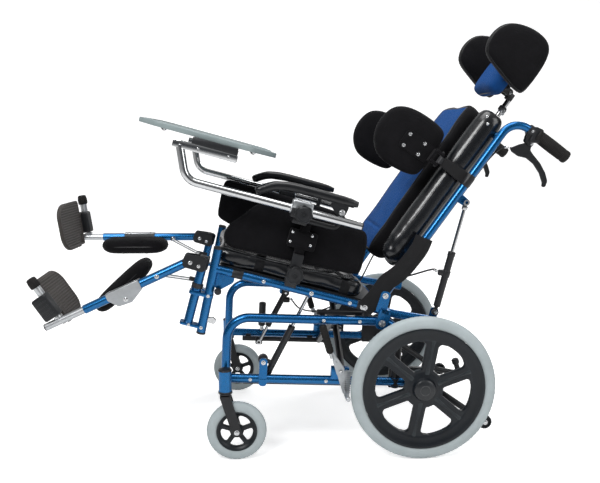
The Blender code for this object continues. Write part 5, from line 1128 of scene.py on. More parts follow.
def armrest_pad(side, word):
    name = "armrest_pad_" + word
    x = side * 0.267
    route = smooth_route([(x, -u, b) for u, b in ARM_PAD_PATH], 8)
    total = len(route) - 1

    def section(i):
        ends = min(i, total - i) / total
        grow = min(1.0, 0.62 + 0.38 * sqrt(min(1.0, ends / 0.05)))
        drawn = []
        for k in range(24):
            a = 2 * pi * k / 24
            across, up = cos(a), sin(a)
            rise = 0.0128 * abs(up) ** 0.75 * (1 if up > 0 else -1)
            drawn.append((0.0178 * abs(across) ** 0.65 * (1 if across > 0 else -1) * grow, rise * grow))
        return drawn
    path = [SEAT @ p for p in route]
    pad = sweep(path, section, up=up_of(SEAT))
    made = add(name + "_pad", name, [pad], SMOOTH_LEATHER, name, 70)
    y, z = -ARM_U, ARM_B
    low, high = sided(side, 0.2745, 0.2805)
    under = [plate(SEAT, [(y - 0.05, 0.292), (y - 0.012, z - 0.009), (y + 0.01, z - 0.009),
        (y + 0.016, 0.292)], low, high, bend=0.009)]
    tray = [SEAT @ Vector((x, -u, b - 0.0105)) for u, b in ((0.166, 0.299), (0.317, 0.299), (0.368, 0.2935),
        (0.392, 0.2855), (0.418, 0.271))]
    under.append(strap(tray, 0.03, 0.0022, (1, 0, 0)))
    add(name + "_underside", name, under, PLASTIC)


# Tray

def tray():
    for side, word in SIDES:
        name = "tray_support_" + word
        x = side * TRAY_TUBE_X
        chrome = [
            tube(SEAT, [(x, -0.134, TRAY_TUBE_B), (x, -0.612, TRAY_TUBE_B), (x, -0.649, TRAY_RAIL_B)],
                0.0109, 0.045, 32, 0.0015),
            box(SEAT, (x, -0.5825, TRAY_RAIL_B), (0.0198, 0.169, 0.0198), bevel=0.0022),
        ]
        add(name + "_tube", name, chrome, CHROME, name)
        run_low, run_high = TRAY_RAIL_B + 0.008, BOARD_LOW - 0.0003
        black = [
            box(SEAT, (side * 0.283, -0.56, (run_low + run_high) / 2), (0.046, 0.12, run_high - run_low),
                bevel=0.002),
            box(SEAT, (x, -0.4985, TRAY_RAIL_B), (0.017, 0.003, 0.017), bevel=0.001),
            tube(SEAT, [(x, -0.135, TRAY_TUBE_B), (x, -0.1325, TRAY_TUBE_B)], 0.0112, 0, 28),
        ]
        add(name + "_runner", name, black, PLASTIC)
        pins = []
        for u in (0.462, 0.7):
            pins.append(turn_about(facing(SEAT, (side * 0.262, -u, BOARD_LOW + 0.0002), (0, 0, -1)),
                [(0, 0.006), (0.004, 0.0056), (0.0058, 0.004), (0.006, 0.002), (0.0078, 0.0018),
                (0.008, -0.0005)], 28))
        for u in (0.52, 0.6):
            pins.append(side_bolt(SEAT, side, 0.3081, -u, TRAY_RAIL_B, 0.0034, 0.0022))
        add(name + "_bolts", name, pins, BRIGHT)
    outline = [(-0.225, -0.77), (0.225, -0.77), (0.29, -0.721), (0.29, -0.466), (0.225, -0.401),
        (0.12, -0.401), (0.085, -0.46), (-0.085, -0.46), (-0.12, -0.401), (-0.225, -0.401), (-0.29, -0.466),
        (-0.29, -0.721)]
    bends = [0.03, 0.03, 0.03, 0.03, 0.03, 0.02, 0.03, 0.03, 0.02, 0.03, 0.03, 0.03]
    middle = -0.59
    inset = [(a * 0.985, middle + (b - middle) * 0.985) for a, b in outline]
    add("tray_board_panel", "tray_board", [plate(SEAT, inset, BOARD_LOW + 0.0006, BOARD_LOW + 0.0126,
        axis="Z", bend=bends, bevel=0.001)], BOARD, "tray_board")
    rim = rounded([(a, b, 0) for a, b in outline], bends, closed=True, step=radians(6))
    edge = [SEAT @ Vector((p.x * 0.9985, middle + (p.y - middle) * 0.9985, BOARD_LOW + 0.0065)) for p in rim]
    section = [(0.003, -0.0062), (-0.0016, -0.0062), (-0.0026, -0.005), (-0.0028, 0), (-0.0026, 0.005),
        (-0.0016, 0.0062), (0.003, 0.0062), (0.0034, 0.005), (0.0034, -0.005)]
    add("tray_board_edging", "tray_board", [sweep(edge, section, True, up=up_of(SEAT))], BOARD_EDGE)
    lip = [SEAT @ Vector((p.x * 0.955, middle + (p.y - middle) * 0.945, BOARD_LOW + 0.0126)) for p in rim]
    add("tray_board_lip", "tray_board", [sweep(lip, circle(0.0021, 10, 0.55), True)], BOARD_EDGE)


# Legs

def leg(side, word):
    name = "leg_hanger_" + word
    x = side * LEG_X
    u, b = LEG_PIVOT_U, LEG_PIVOT_B
    blue = [
        tube(SEAT, [(x, -HANGER_U, -0.13), (x, -HANGER_U, b + 0.02)], 0.0124, 0, 32),
        ring_band(SEAT, (x, -HANGER_U, -0.0365), (0, 0, 1), 0.0122, 0.006, 0.0016),
    ]
    add(name + "_tube", name, blue, BLUE, name)
    # Moulded housing round the elevating pivot
    black = []
    for lateral in (-1, 1):
        low, high = sorted((x + lateral * 0.0132, x + lateral * 0.0178))
        black.append(plate(SEAT, [(-HANGER_U + 0.01, b - 0.022), (-u - 0.016, b - 0.02),
            (-u - 0.022, b - 0.006), (-u - 0.018, b + 0.016), (-HANGER_U + 0.004, b + 0.022)], low, high,
            bend=0.009, bevel=0.0014))
    black += [
        box(SEAT, (x, -HANGER_U - 0.006, b + 0.002), (0.034, 0.014, 0.038), bevel=0.004, segments=3),
        tube(SEAT, [(x, -HANGER_U, b - 0.018), (x, -HANGER_U, b + 0.0215)], 0.015, 0, 32, 0.005),
        turn_about(facing(SEAT, (x, -HANGER_U, -0.029), (0, 0, 1)), [(0.0126, -0.004), (0.0158, -0.003),
            (0.016, 0.008), (0.0126, 0.01)], 36, True),
        box(SEAT, (x - side * 0.0138, -HANGER_U - 0.012, -0.015), (0.006, 0.03, 0.012), bevel=0.002),
    ]
    add(name + "_housing", name, black, PLASTIC)
    metal = [pin(SEAT, x - 0.0165, x + 0.0165, -u, b, 0.0044, 18)]
    for lateral in (-1, 1):
        metal += [
            bolt(SEAT, (x + lateral * 0.0178, -u, b - 0.004), (lateral, 0, 0), 0.0046, 0.0028),
            bolt(SEAT, (x + lateral * 0.0178, -HANGER_U - 0.01, b - 0.008), (lateral, 0, 0), 0.004, 0.0026),
        ]
    metal.append(turn_about(facing(SEAT, (x, -HANGER_U, -0.13), (0, 0, -1)),
        [(0.0124, -0.001), (0.012, 0.0008), (0, 0.0012)], 32))
    add(name + "_bolts", name, metal, BRIGHT)

    name = "leg_tube_" + word
    at = leg_frame(side)
    tubes = [
        tube(at, [(0, 0.004, 0), (0, -0.316, 0)], 0.0124, 0, 32),
        lathe(at, (0, 0, 0), mirrored([(0.0053, 0.0125), (0.0105, 0.0125), (0.0123, 0.011)]), 40, True),
    ]
    add(name + "_tube", name, tubes, BLUE, name)
    pin_l, pin_h = CALF_PIN
    outer = side * 0.0155
    sheets = []
    for end in (-1, 1):
        low, high = sorted((end * 0.0133, end * 0.0155))
        sheets.append(plate(at, [(-0.148, 0.013), (-0.246, 0.013), (-0.246, -0.004), (-0.226, -0.03),
            (-0.188, -0.034), (-0.15, -0.014)], low, high, bend=0.006, bevel=0.0007))
    sheets += [
        box(at, (0, -0.197, 0.013), (0.03, 0.098, 0.002), bevel=0.0009),
        pin(at, side * 0.015, -side * 0.043, -pin_l, pin_h, 0.0059, 24),
    ]
    add(name + "_channel", name, sheets, SILVER)
    metal = [
        bolt(at, (outer, -pin_l, pin_h), (side, 0, 0), 0.0056, 0.0038),
        side_bolt(at, side, 0.0122, -0.1, 0, 0.005, 0.003),
        bolt(at, (0, -0.232, 0.0139), (0, 0, 1), 0.0034, 0.0022),
        bolt(at, (0, -0.162, 0.0139), (0, 0, 1), 0.0034, 0.0022),
        pin(at, 0, -side * 0.0225, -0.088, -0.004, 0.0034, 16),
        bolt(at, (-side * 0.0217, -0.088, -0.004), (-side, 0, 0), 0.0046, 0.0026),
    ]
    add(name + "_bolts", name, metal, BRIGHT)

    name = "leg_link_" + word
    start = at @ Vector((0, -0.088, -0.004))
    target = SEAT @ Vector((x, -0.534, -0.015))
    along = (target - start).normalized()
    shift = Vector((-side * 0.0195, 0, 0))
    above = Vector((0, along.z, -along.y))
    wires = [
        tube(WORLD, [start + shift, start + shift + along * 0.093], 0.0022, 0, 12),
        tube(WORLD, [start + shift + above * 0.006, start + shift + above * 0.006 + along * 0.093], 0.0022,
            0, 12),
        lathe(WORLD, start + shift, mirrored([(0.0044, 0.0019), (0.0084, 0.0019)]), 28, True),
        box(WORLD, start + shift + along * 0.093 + above * 0.003, (0.0039, 0.0098, 0.0138),
            atan2(along.z, along.y), 0.001),
    ]
    add(name + "_wires", name, wires, CHROME, name)

    name = "foot_extension_" + word
    foot = foot_frame(side)
    end = FOOT_PIN[side] + 0.045
    silver = [
        tube(at, [(0, -0.2, 0), (0, -end, 0)], 0.0099, 0, 28, 0.0015),
        tube(foot, [(0, 0, 0), (0, 0, 0.112)], 0.0069, 0, 24),
        turn_about(foot @ Matrix.Translation((0, 0, 0.0858)), [(0.007, 0), (0.01, 0), (0.0105, 0.0015),
            (0.0105, 0.0235), (0.007, 0.024)], 32, True),
        turn_about(foot @ Matrix.Translation((0, 0, 0.0093)), [(0.0069, 0), (0.012, 0.001), (0.012, 0.005),
            (0.0069, 0.006)], 32, True),
    ]
    for k in range(5):
        silver.append(turn_about(facing(at, (side * 0.0094, 0.1 - end - 0.018 * k, 0), (side, 0, 0)),
            [(0, 0.0002), (0.0022, 0.0002), (0.003, 0.0007), (0.0036, 0)], 16))
    add(name + "_tube", name, silver, SILVER, name)
    capped = [turn_about(foot @ Matrix.Translation((0, 0, 0.1095)),
        [(0.007, 0), (0.0132, 0), (0.014, 0.0015), (0.014, 0.019), (0.0128, 0.0265), (0.009, 0.0292),
        (0, 0.0296)], 36)]
    for k in range(14):
        a = 2 * pi * k / 14
        capped.append(box(foot, (0.0138 * cos(a), 0.0138 * sin(a), 0.12), (0.0016, 0.0016, 0.014),
            bevel=0.0005))
    capped.append(tube(at, [(0, 0.001 - end, 0), (0, -end - 0.002, 0)], 0.01, 0, 28, 0.0015))
    add(name + "_caps", name, capped, RUBBER)


def footplate(side, word):
    name = "footplate_" + word
    foot = foot_frame(side) @ Matrix.Rotation(side * FOOT_FLIP[side], 4, "Z")
    inward = -side
    turn = foot @ Matrix.Rotation(radians(90), 4, "X")
    outline = [(inward * 0.01, 0.019), (inward * 0.047, 0.019), (inward * 0.052, -0.02),
        (inward * 0.165, -0.02), (inward * 0.165, 0.126), (inward * 0.024, 0.126), (inward * 0.024, 0.083),
        (inward * 0.01, 0.083)]
    bend = 0.046
    bends = [0, 0, 0.004, bend, bend, 0.01, 0, 0]
    brown = [plate(turn, outline, 0.0062, 0.0158, axis="Z", bend=bends, bevel=0.0022, step=radians(8))]
    for k in range(17):
        h = -0.01 + 0.0078 * k
        reach = 0.158
        for corner in (-0.02 + bend, 0.126 - bend):
            past = corner - h if corner < 0.05 else h - corner
            if past > 0:
                reach = min(reach, 0.165 - bend + sqrt(max(0.0, bend ** 2 - past ** 2)) - 0.006)
        start = 0.06 if h < 0.022 else 0.034
        for face in (-0.0054, -0.0166):
            brown.append(tube(foot, [(inward * start, face, h), (inward * reach, face, h)], 0.0016, 0, 8,
                0.0008))
    rim = [foot @ Vector((p.x, -0.011, p.y))
        for p in rounded([(inward * 0.03, -0.013), (inward * 0.16, -0.013), (inward * 0.16, 0.121),
        (inward * 0.03, 0.121)], [0.004, 0.041, 0.041, 0.008], closed=True, step=radians(9))]
    brown.append(sweep(rim, [(-0.0022, -0.0062), (0.0022, -0.0062), (0.0022, 0.0062), (-0.0022, 0.0062)],
        True, up=up_of(foot, (0, 1, 0))))
    add(name + "_plate", name, brown, FOOT, name)
    middle = (0.0165 + 0.085) / 2
    cast = [
        box(foot, (0, -0.01, middle), (0.0338, 0.0458, 0.068), bevel=0.006, segments=4),
        box(foot, (inward * 0.0172, -0.011, middle), (0.014, 0.01, 0.062), bevel=0.003),
    ]
    for h in (0.032, 0.044, 0.056, 0.068):
        cast.append(box(foot, (side * 0.0168, -0.01, h), (0.0016, 0.036, 0.0034), bevel=0.0007))
    add(name + "_hinge", name, cast, PLASTIC)


# Back

BACK_TUBE = 0.0115
TRUNK_HINGE = (0.2385, 0.1)
STEM_T = -0.024
LEVER = (0.568, -0.082)


def back_frame():
    blue, metal, black = [], [], []
    arms = []
    for side, _ in SIDES:
        x = side * SEAT_X
        blue.append(tube(BACK, [(x, -0.012, 0), (x, BACK_TOP, 0), (x, BACK_TOP + 0.001, -HANDLE_END + 0.01)],
            BACK_TUBE, 0.052, 32))
        low, high = sided(side, 0.2295, 0.2335)
        s, t = RECLINE_HEAD
        blue.append(plate(BACK, [(s - 0.014, 0.002), (s - 0.01, t - 0.011), (s + 0.01, t - 0.011),
            (s + 0.014, 0.002)], low, high, bend=0.007))
        metal.append(bolt(BACK, (side * 0.2295, s, t), (-side, 0, 0), 0.0052, 0.0036))
        hinge_x, hinge_t = TRUNK_HINGE
        low, high = sided(side, 0.233, 0.244)
        arms.append(plate(BACK, [(TRUNK_S - 0.019, -0.014), (TRUNK_S + 0.019, -0.014),
            (TRUNK_S + 0.012, hinge_t - 0.012), (TRUNK_S - 0.012, hinge_t - 0.012)], low, high, bend=0.008,
            bevel=0.0012))
        black += [
            tube(BACK, [(side * hinge_x, TRUNK_S - 0.01, hinge_t - 0.006), (side * hinge_x, TRUNK_S + 0.01,
                hinge_t - 0.006)], 0.0074, 0, 24),
            ring_band(BACK, (x, TRUNK_S, 0), (0, 1, 0), BACK_TUBE - 0.0003, 0.036, 0.0018),
            tube(BACK, [(side * hinge_x, TRUNK_S - 0.0238, hinge_t), (side * hinge_x, TRUNK_S + 0.0238,
                hinge_t)], 0.0034, 0, 18),
        ]
        s, t = LEVER
        black.append(ring_band(BACK, (x, BACK_TOP + 0.0003, t + 0.021), (0, 0, 1), BACK_TUBE - 0.0003, 0.018,
            0.004))
        for lateral in (-1, 1):
            low, high = sorted((x + lateral * 0.0055, x + lateral * 0.0095))
            black.append(plate(BACK, [(BACK_TOP - 0.004, t + 0.03), (BACK_TOP - 0.004, t + 0.012),
                (s - 0.004, t - 0.006), (s - 0.009, t + 0.004), (s - 0.004, t + 0.02)], low, high,
                bend=0.004, bevel=0.001))
        black.append(plate(BACK, [(0.5935, -0.0669), (0.6116, -0.0597), (0.617, -0.0852), (0.606, -0.093),
            (0.58, -0.095), (0.564, -0.0699)], x - 0.0142, x + 0.0142, bend=0.006, bevel=0.003))
        metal += [
            pin(BACK, x - 0.0098, x + 0.0098, s, t, 0.0029, 18),
            bolt(BACK, (x + side * 0.0095, s, t), (side, 0, 0), 0.004, 0.0026),
            bolt(BACK, (x + side * 0.015, BACK_TOP - 0.001, t + 0.021), (side, 0, 0), 0.0034, 0.0022),
        ]
    for s in (0.13, 0.535):
        blue.append(pin(BACK, -SEAT_X, SEAT_X, s, 0, 0.01, 28))
        for side, _ in SIDES:
            blue.append(weld(BACK, (side * (SEAT_X - 0.0115), s, 0), (side, 0, 0), 0.01))
    black.append(box(BACK, (0, 0.545, STEM_T), (0.052, 0.07, 0.03), bevel=0.0035, segments=3))
    for px in (-0.019, 0.019):
        for s in (0.52, 0.57):
            metal.append(bolt(BACK, (px, s, STEM_T - 0.015), (0, 0, -1), 0.004, 0.0028))
    add("back_frame_tubes", "back_frame", blue, BLUE, "back_frame")
    add("back_frame_fittings", "back_frame", black, PLASTIC)
    add("back_frame_pad_arms", "back_frame", arms, WEBBING)
    add("back_frame_bolts", "back_frame", metal, BRIGHT)


def push_grip(side, word):
    name = "push_grip_" + word
    at = facing(BACK, (side * SEAT_X, BACK_TOP + 0.001, -GRIP_START), (0, 0, -1))
    length = HANDLE_END - GRIP_START
    profile = [(0.0122, 0), (0.019, 0), (0.0209, 0.0015), (0.0209, 0.0055), (0.019, 0.008), (0.0172, 0.0105)]
    ribs = 17
    for k in range(ribs):
        z = 0.013 + k * (length - 0.03) / ribs
        swell = 0.0168 + 0.0006 * sin(pi * k / (ribs - 1))
        profile += [(swell, z), (swell + 0.001, z + 0.001), (swell + 0.001, z + 0.0034), (swell, z + 0.0044)]
    profile += [(0.0172, length - 0.014), (0.018, length - 0.011), (0.018, length - 0.005),
        (0.0165, length - 0.0014), (0.013, length), (0, length)]
    add(name + "_rubber", name, [turn_about(at, profile, 48)], RUBBER, name)


def hand_lever(side, word):
    name = "hand_lever_" + word
    x = side * SEAT_X
    s, t = LEVER
    outline = [(0.006, -0.002), (0.001, 0.008), (-0.02, 0.026), (-0.042, 0.04), (-0.048, 0.032),
        (-0.047, 0.008), (-0.038, -0.013), (-0.039, -0.039), (-0.049, -0.068), (-0.065, -0.092),
        (-0.075, -0.097), (-0.07, -0.106), (-0.053, -0.101), (-0.038, -0.081), (-0.026, -0.054),
        (-0.019, -0.024), (-0.014, -0.008), (-0.004, -0.006)]
    blade = plate(BACK, [(s + ds, t + dt) for ds, dt in outline], x - 0.0046, x + 0.0046, bend=0.014,
        bevel=0.0022, step=radians(8))
    eye = lathe(BACK, (x, s, t), mirrored([(0.0038, 0.0048), (0.0062, 0.0048), (0.0069, 0.004)]), 30, True)
    nub = tube(BACK, [(x, s - 0.04, t + 0.037), (x, s - 0.0425, t + 0.04)], 0.0034, 0, 16)
    add(name + "_blade", name, [blade, eye, nub], SATIN, name)


# Padded pieces

def outline_loop(outline, per_span=5):
    """Closed smooth curve through an outline's points."""
    route = [Vector((a, b, 0)) for a, b in outline]
    count = len(route)
    out = []
    for i in range(count):
        out += spanned(route[i - 1], route[i], route[(i + 1) % count], route[(i + 2) % count], per_span)
    return out


def cushion_form(frame, outline, low, high, axis="X", edge=0.012, crown=0.004, flat_low=False):
    """Pad between two levels: rounded edges as deep as given, and faces that rise to a crown."""
    loop = outline_loop(outline)
    centre = sum(loop, Vector()) / len(loop)
    matrix = frame @ LATERAL if axis == "X" else frame
    half, middle = (high - low) / 2, (high + low) / 2
    size = sum((p - centre).length for p in loop) / len(loop)
    rings = [[matrix @ Vector((centre.x, centre.y, middle - half - (0 if flat_low else crown)))]]
    levels = []
    for share in (0.3, 0.6, 0.82):
        levels.append((share, -half - (0 if flat_low else crown * (1 - share ** 2))))
    for k in range(9):
        a = -pi / 2 + pi * k / 8
        levels.append((1 - (edge / size) * (1 - cos(a) ** 0.8), half * sin(a)))
    for share in (0.82, 0.6, 0.3):
        levels.append((share, half + crown * (1 - share ** 2)))
    for share, level in levels:
        rings.append([matrix @ (centre + (p - centre) * share + Vector((0, 0, middle + level)))
            for p in loop])
    rings.append([matrix @ Vector((centre.x, centre.y, middle + half + crown))])
    return skin(rings)


STUFFED = []
SMOOTHINGS = 3
CLOTH_FRAMES = 20


def stuff(name, rides_like, shapes, voxel=0.005, held=None, cap=0.008, pressure=4.0, **how):
    """Closed forms remeshed into one pad that is blown up later, with the held points left in place."""
    made = joined(name, shapes)
    remesh = made.modifiers.new("Remesh", "REMESH")
    remesh.mode = "VOXEL"
    remesh.voxel_size = voxel
    whole = evaluated(made)
    made.modifiers.clear()
    made.data = whole
    work = bmesh.new()
    work.from_mesh(whole)
    for _ in range(SMOOTHINGS):
        bmesh.ops.smooth_vert(work, verts=work.verts, factor=0.5, use_axis_x=True, use_axis_y=True,
            use_axis_z=True)
    work.to_mesh(whole)
    work.free()
    group = made.vertex_groups.new(name="held")
    if held:
        kept = [v.index for v in whole.vertices if held(v.co)]
        if kept:
            group.add(kept, 1.0, "REPLACE")
    cloth = made.modifiers.new("Cloth", "CLOTH")
    for key, value in dict(quality=4, mass=0.3, tension_stiffness=12, compression_stiffness=12,
            shear_stiffness=4, bending_stiffness=0.4, use_pressure=True, uniform_pressure_force=pressure,
            vertex_group_mass="held").items():
        setattr(cloth.settings, key, value)
    cloth.settings.effector_weights.gravity = 0
    cloth.collision_settings.use_collision = False
    cloth.point_cache.frame_start = 1
    cloth.point_cache.frame_end = CLOTH_FRAMES
    STUFFED.append((made, rides_like, cap, how))
    return made


def settle():
    """Blow up every pad at once, cap how far each point moved, and finish the pads."""
    for number in range(1, CLOTH_FRAMES + 1):
        bpy.context.scene.frame_set(number)
    made_list = []
    for made, rides_like, cap, how in STUFFED:
        rest = [v.co.copy() for v in made.data.vertices]
        if made.modifiers:
            shaped = evaluated(made)
            moved = [v.co.copy() for v in shaped.vertices]
            made.modifiers.clear()
            for v, before, after in zip(made.data.vertices, rest, moved):
                step = after - before
                reach = step.length
                v.co = before + (step * (cap / (cap + reach)) if reach > 1e-9 else step)
            bpy.data.meshes.remove(shaped)
        made.vertex_groups.clear()
        smooth = made.modifiers.new("Subdivision", "SUBSURF")
        smooth.levels = 1
        smooth.render_levels = 1
        finished = evaluated(made)
        made.modifiers.clear()
        made.data = finished
        if how.get("dent"):
            finished.update()
            normals = [v.normal.copy() for v in finished.vertices]
            for v, normal in zip(finished.vertices, normals):
                v.co += normal * how["dent"](v.co)
        finished.shade_smooth()
        finished.materials.clear()
        for material in how["materials"]:
            finished.materials.append(material)
        if how.get("pick"):
            for polygon in finished.polygons:
                polygon.material_index = how["pick"](polygon)
        finished.update()
        carried(made, rides_like)
        for cad_node in how.get("stands_for", ()):
            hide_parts(cad_node)
        made_list.append(made)
    STUFFED.clear()
    bpy.context.scene.frame_set(1)
    return made_list


def traced(made, path, direction, sink=0.0):
    """Points of a path laid on a pad's surface, met from outside against the direction."""
    way = Vector(direction).normalized()
    laid = []
    for point in path:
        hit, place, normal, _ = made.ray_cast(point + way * 0.2, -way)
        laid.append(place - normal * sink if hit else point)
    return laid


def smoothed(path, passes=2, closed=True):
    for _ in range(passes):
        count = len(path)
        path = [(path[i - 1] + path[i] * 2 + path[(i + 1) % count]) / 4 if closed or 0 < i < count - 1
            else path[i] for i in range(count)]
    return path


def piping(name, rides_like, made, path, direction, radius):
    """Corded edge sewn along a closed line on a pad."""
    laid = smoothed(traced(made, path, direction, 0.0004))
    add(name, rides_like, [tube(WORLD, laid, radius, 0, 10, closed=True)], SMOOTH_LEATHER)


def stitches(path, closed=False):
    """Short threads along a path of points."""
    gap, length, radius = 0.006, 0.0036, 0.0005
    shapes = []
    points = list(path) + ([path[0]] if closed else [])
    travelled, due = 0.0, 0.0
    for a, b in zip(points, points[1:]):
        span = (b - a).length
        while span > 1e-9 and due < travelled + span:
            spot = a.lerp(b, (due - travelled) / span)
            way = (b - a).normalized() * length / 2
            shapes.append(sweep([spot - way, spot + way], circle(radius, 6)))
            due += gap
        travelled += span
    return shapes


def local(frame):
    back = frame.inverted()
    return lambda point: back @ point


IN_SEAT, IN_BACK = local(SEAT), local(BACK)

GUARD_REAR = [(-0.32, 0.243), (-0.2, 0.238), (-0.114, 0.232), (-0.096, 0.215), (-0.089, 0.178),
    (-0.088, 0.134), (-0.098, 0.108), (-0.2, 0.1015), (-0.29, 0.099), (-0.366, 0.0975)]
GUARD = {
    1: GUARD_REAR + [(-0.427, 0.095), (-0.463, 0.0975), (-0.478, 0.111), (-0.4805, 0.134), (-0.469, 0.16),
        (-0.445, 0.187), (-0.405, 0.232)],
    -1: GUARD_REAR + [(-0.44, 0.101), (-0.48, 0.109), (-0.506, 0.119), (-0.513, 0.135), (-0.5165, 0.185),
        (-0.517, 0.23), (-0.504, 0.244), (-0.45, 0.244), (-0.39, 0.243)],
}
TRUNK = [(0.325, 0.266), (0.374, 0.288), (0.435, 0.277), (0.464, 0.222), (0.465, 0.132), (0.43, 0.111),
    (0.34, 0.111), (0.311, 0.132), (0.299, 0.22)]
WING = [(0.718, 0.148), (0.77, 0.165), (0.82, 0.143), (0.848, 0.08), (0.844, 0.018), (0.8, -0.009),
    (0.702, -0.011), (0.683, 0.01), (0.697, 0.085)]
HEAD = [(-0.085, 0.662), (0, 0.658), (0.085, 0.662), (0.095, 0.72), (0.083, 0.793), (0, 0.805),
    (-0.083, 0.793), (-0.095, 0.72)]


def seat_pads():
    half = 0.211
    outline = [(-half, -0.478), (-half * 0.5, -0.482), (0, -0.48), (half * 0.5, -0.482), (half, -0.478),
        (half - 0.004, -0.36), (half, -0.275), (half - 0.004, -0.18), (half, -0.074), (half * 0.5, -0.072),
        (-half * 0.5, -0.072), (-half, -0.074), (-half + 0.004, -0.18), (-half, -0.275),
        (-half + 0.004, -0.36)]

    def held(point):
        p = IN_SEAT(point)
        rim = 0.081 < p.z < 0.087 and (abs(p.x) > half - 0.014 or p.y < SEAT_FRONT or p.y > SEAT_REAR)
        return p.z < 0.0475 or rim

    def dent(point):
        p = IN_SEAT(point)
        depth = 0.0
        if p.z > 0.07 and abs(p.x) < 0.19:
            for line in (-0.365, -0.205):
                depth -= 0.0045 * exp(-((p.y - line) / 0.0055) ** 2)
        wrinkle = noise.noise(Vector((p.x * 18, p.y * 22, p.z * 40)))
        side = max(0.0, min(1.0, (abs(p.x) - 0.19) / 0.015)) + max(0.0, min(1.0, (-0.455 - p.y) / 0.02))
        return depth + 0.0022 * wrinkle * min(1.0, side)

    stuff("seat_cushion_cover", "seat_cushion",
        [cushion_form(SEAT, outline, 0.0426, 0.088, axis="Z", edge=0.013, crown=0.004, flat_low=True)],
        0.006, held, 0.0075, materials=[LEATHER], stands_for=("seat_cushion",), dent=dent)
    for side, word in SIDES:
        low, high = sided(side, 0.1985, 0.2212)

        def rim_held(point, outline=GUARD[side]):
            p = IN_SEAT(point)
            return abs(abs(p.x) - GUARD_X) < 0.003 and held_edge(outline, p.y, p.z, 0.004)
        stuff("side_guard_" + word + "_cover", "side_guard_" + word,
            [cushion_form(SEAT, GUARD[side], low, high, edge=0.009, crown=0.0005)], 0.005, rim_held, 0.0022,
            materials=[CLOTH], stands_for=("side_guard_" + word,), fill=0.7)


def held_edge(outline, a, b, near):
    """True where a point lies close to an outline's smooth edge."""
    return min((Vector((a, b, 0)) - p).length for p in LOOPS.setdefault(id(outline),
        outline_loop(outline, 8))) < near


LOOPS = {}


ROLL_X, ROLL_T = 0.1882, 0.0362


def roll_form(side):
    """Side roll of the back: a full oval section beside the tube, drawn in at both ends."""
    rings = []
    for s, grow in ((0.087, 0.0), (0.088, 0.5), (0.094, 0.76), (0.106, 0.9), (0.13, 0.97), (0.2, 1.0),
            (0.3, 1.0), (0.4, 1.0), (0.5, 1.0), (0.545, 0.99), (0.566, 0.93), (0.578, 0.78), (0.584, 0.5),
            (0.585, 0.0)):
        if grow == 0:
            rings.append([BACK @ Vector((side * ROLL_X, s, ROLL_T))])
            continue
        ring = []
        for k in range(28):
            a = 2 * pi * k / 28
            across = 0.0385 * abs(cos(a)) ** 0.8 * (1 if cos(a) > 0 else -1)
            rise = 0.0385 * abs(sin(a)) ** 0.86 * (1 if sin(a) > 0 else -1)
            ring.append(BACK @ Vector((side * (ROLL_X + across * grow), s, ROLL_T + rise * grow)))
        rings.append(ring)
    return skin(rings)


BACK_FACE = [(-0.138, 0.078), (0, 0.073), (0.138, 0.078), (0.145, 0.2), (0.145, 0.32), (0.145, 0.44),
    (0.139, 0.568), (0, 0.575), (-0.139, 0.568), (-0.145, 0.44), (-0.145, 0.32), (-0.145, 0.2)]


def back_pads():
    def folds(point):
        p = IN_BACK(point)
        strap_dip = -0.0022 * exp(-((p.y - ROLL_STRAP_S) / 0.02) ** 2)
        loose = max(0.0, min(1.0, (0.2 - p.y) / 0.1))
        wrinkle = noise.noise(Vector((p.x * 26, p.y * 44 + p.x * 20, p.z * 26)))
        soft = noise.noise(Vector((p.x * 18, p.y * 9, p.z * 18)))
        return strap_dip + 0.0034 * loose * wrinkle + 0.0016 * soft

    def face_folds(point):
        p = IN_BACK(point)
        if p.z < 0.06:
            return 0.0
        inner = max(0.0, min(1.0, (0.125 - abs(p.x)) / 0.03))
        forward = 0.006 * min(1.0, (p.z - 0.06) / 0.022) * max(0.0, min(1.0, (p.y - 0.15) / 0.4))
        return forward - 0.003 * inner * exp(-((p.y - 0.142) / 0.0055) ** 2) + 0.0012 * noise.noise(p * 16)

    def pick(polygon):
        p = IN_BACK(polygon.center)
        return 1 if p.z > 0.076 and abs(p.x) < FACE_HALF and FACE_LOW < p.y < FACE_HIGH else 0

    for side, word in SIDES:
        def held(point):
            p = IN_BACK(point)
            return abs(p.x) < 0.153 or p.z < 0.003
        stuff("back_roll_" + word, "back_cushion", [roll_form(side)], 0.005, held, 0.0028, pressure=3.0,
            materials=[LEATHER], dent=folds, fill=0.8)

    def middle_held(point):
        p = IN_BACK(point)
        return p.z < 0.034 or (0.08 < p.z < 0.088 and (abs(p.x) > 0.13 or not 0.092 < p.y < 0.56))
    stuff("back_middle_cushion", "back_cushion", [cushion_form(BACK, BACK_FACE, 0.029, 0.0905, axis="Z",
        edge=0.01, crown=0.003)], 0.006, middle_held, 0.0065, materials=[CLOTH, BLUE_CLOTH], pick=pick,
        dent=face_folds, stands_for=("back_cushion",), fill=0.7)
    sling = [(-0.205, 0.08), (0, 0.082), (0.205, 0.08), (0.214, 0.2), (0.214, 0.34), (0.214, 0.46),
        (0.205, 0.58), (0, 0.584), (-0.205, 0.58), (-0.214, 0.46), (-0.214, 0.34), (-0.214, 0.2)]
    stuff("back_sling", "back_cushion", [cushion_form(BACK, sling, 0.011, 0.026, axis="Z", edge=0.006,
        crown=0.0)], 0.006, lambda point: IN_BACK(point).z < 0.014, 0.0012, materials=[SMOOTH_LEATHER],
        fill=0.3)


def calf_outline(side):
    x0, x1 = sorted((-side * (LEG_X - 0.201), -side * (LEG_X - 0.101)))
    mid, half = (x0 + x1) / 2, CALF_HALF[side]
    return [(x0, -half * 0.8), (mid, -half), (x1, -half * 0.8), (x1 + 0.001, 0), (x1, half * 0.8),
        (mid, half), (x0, half * 0.8), (x0 - 0.001, 0)]


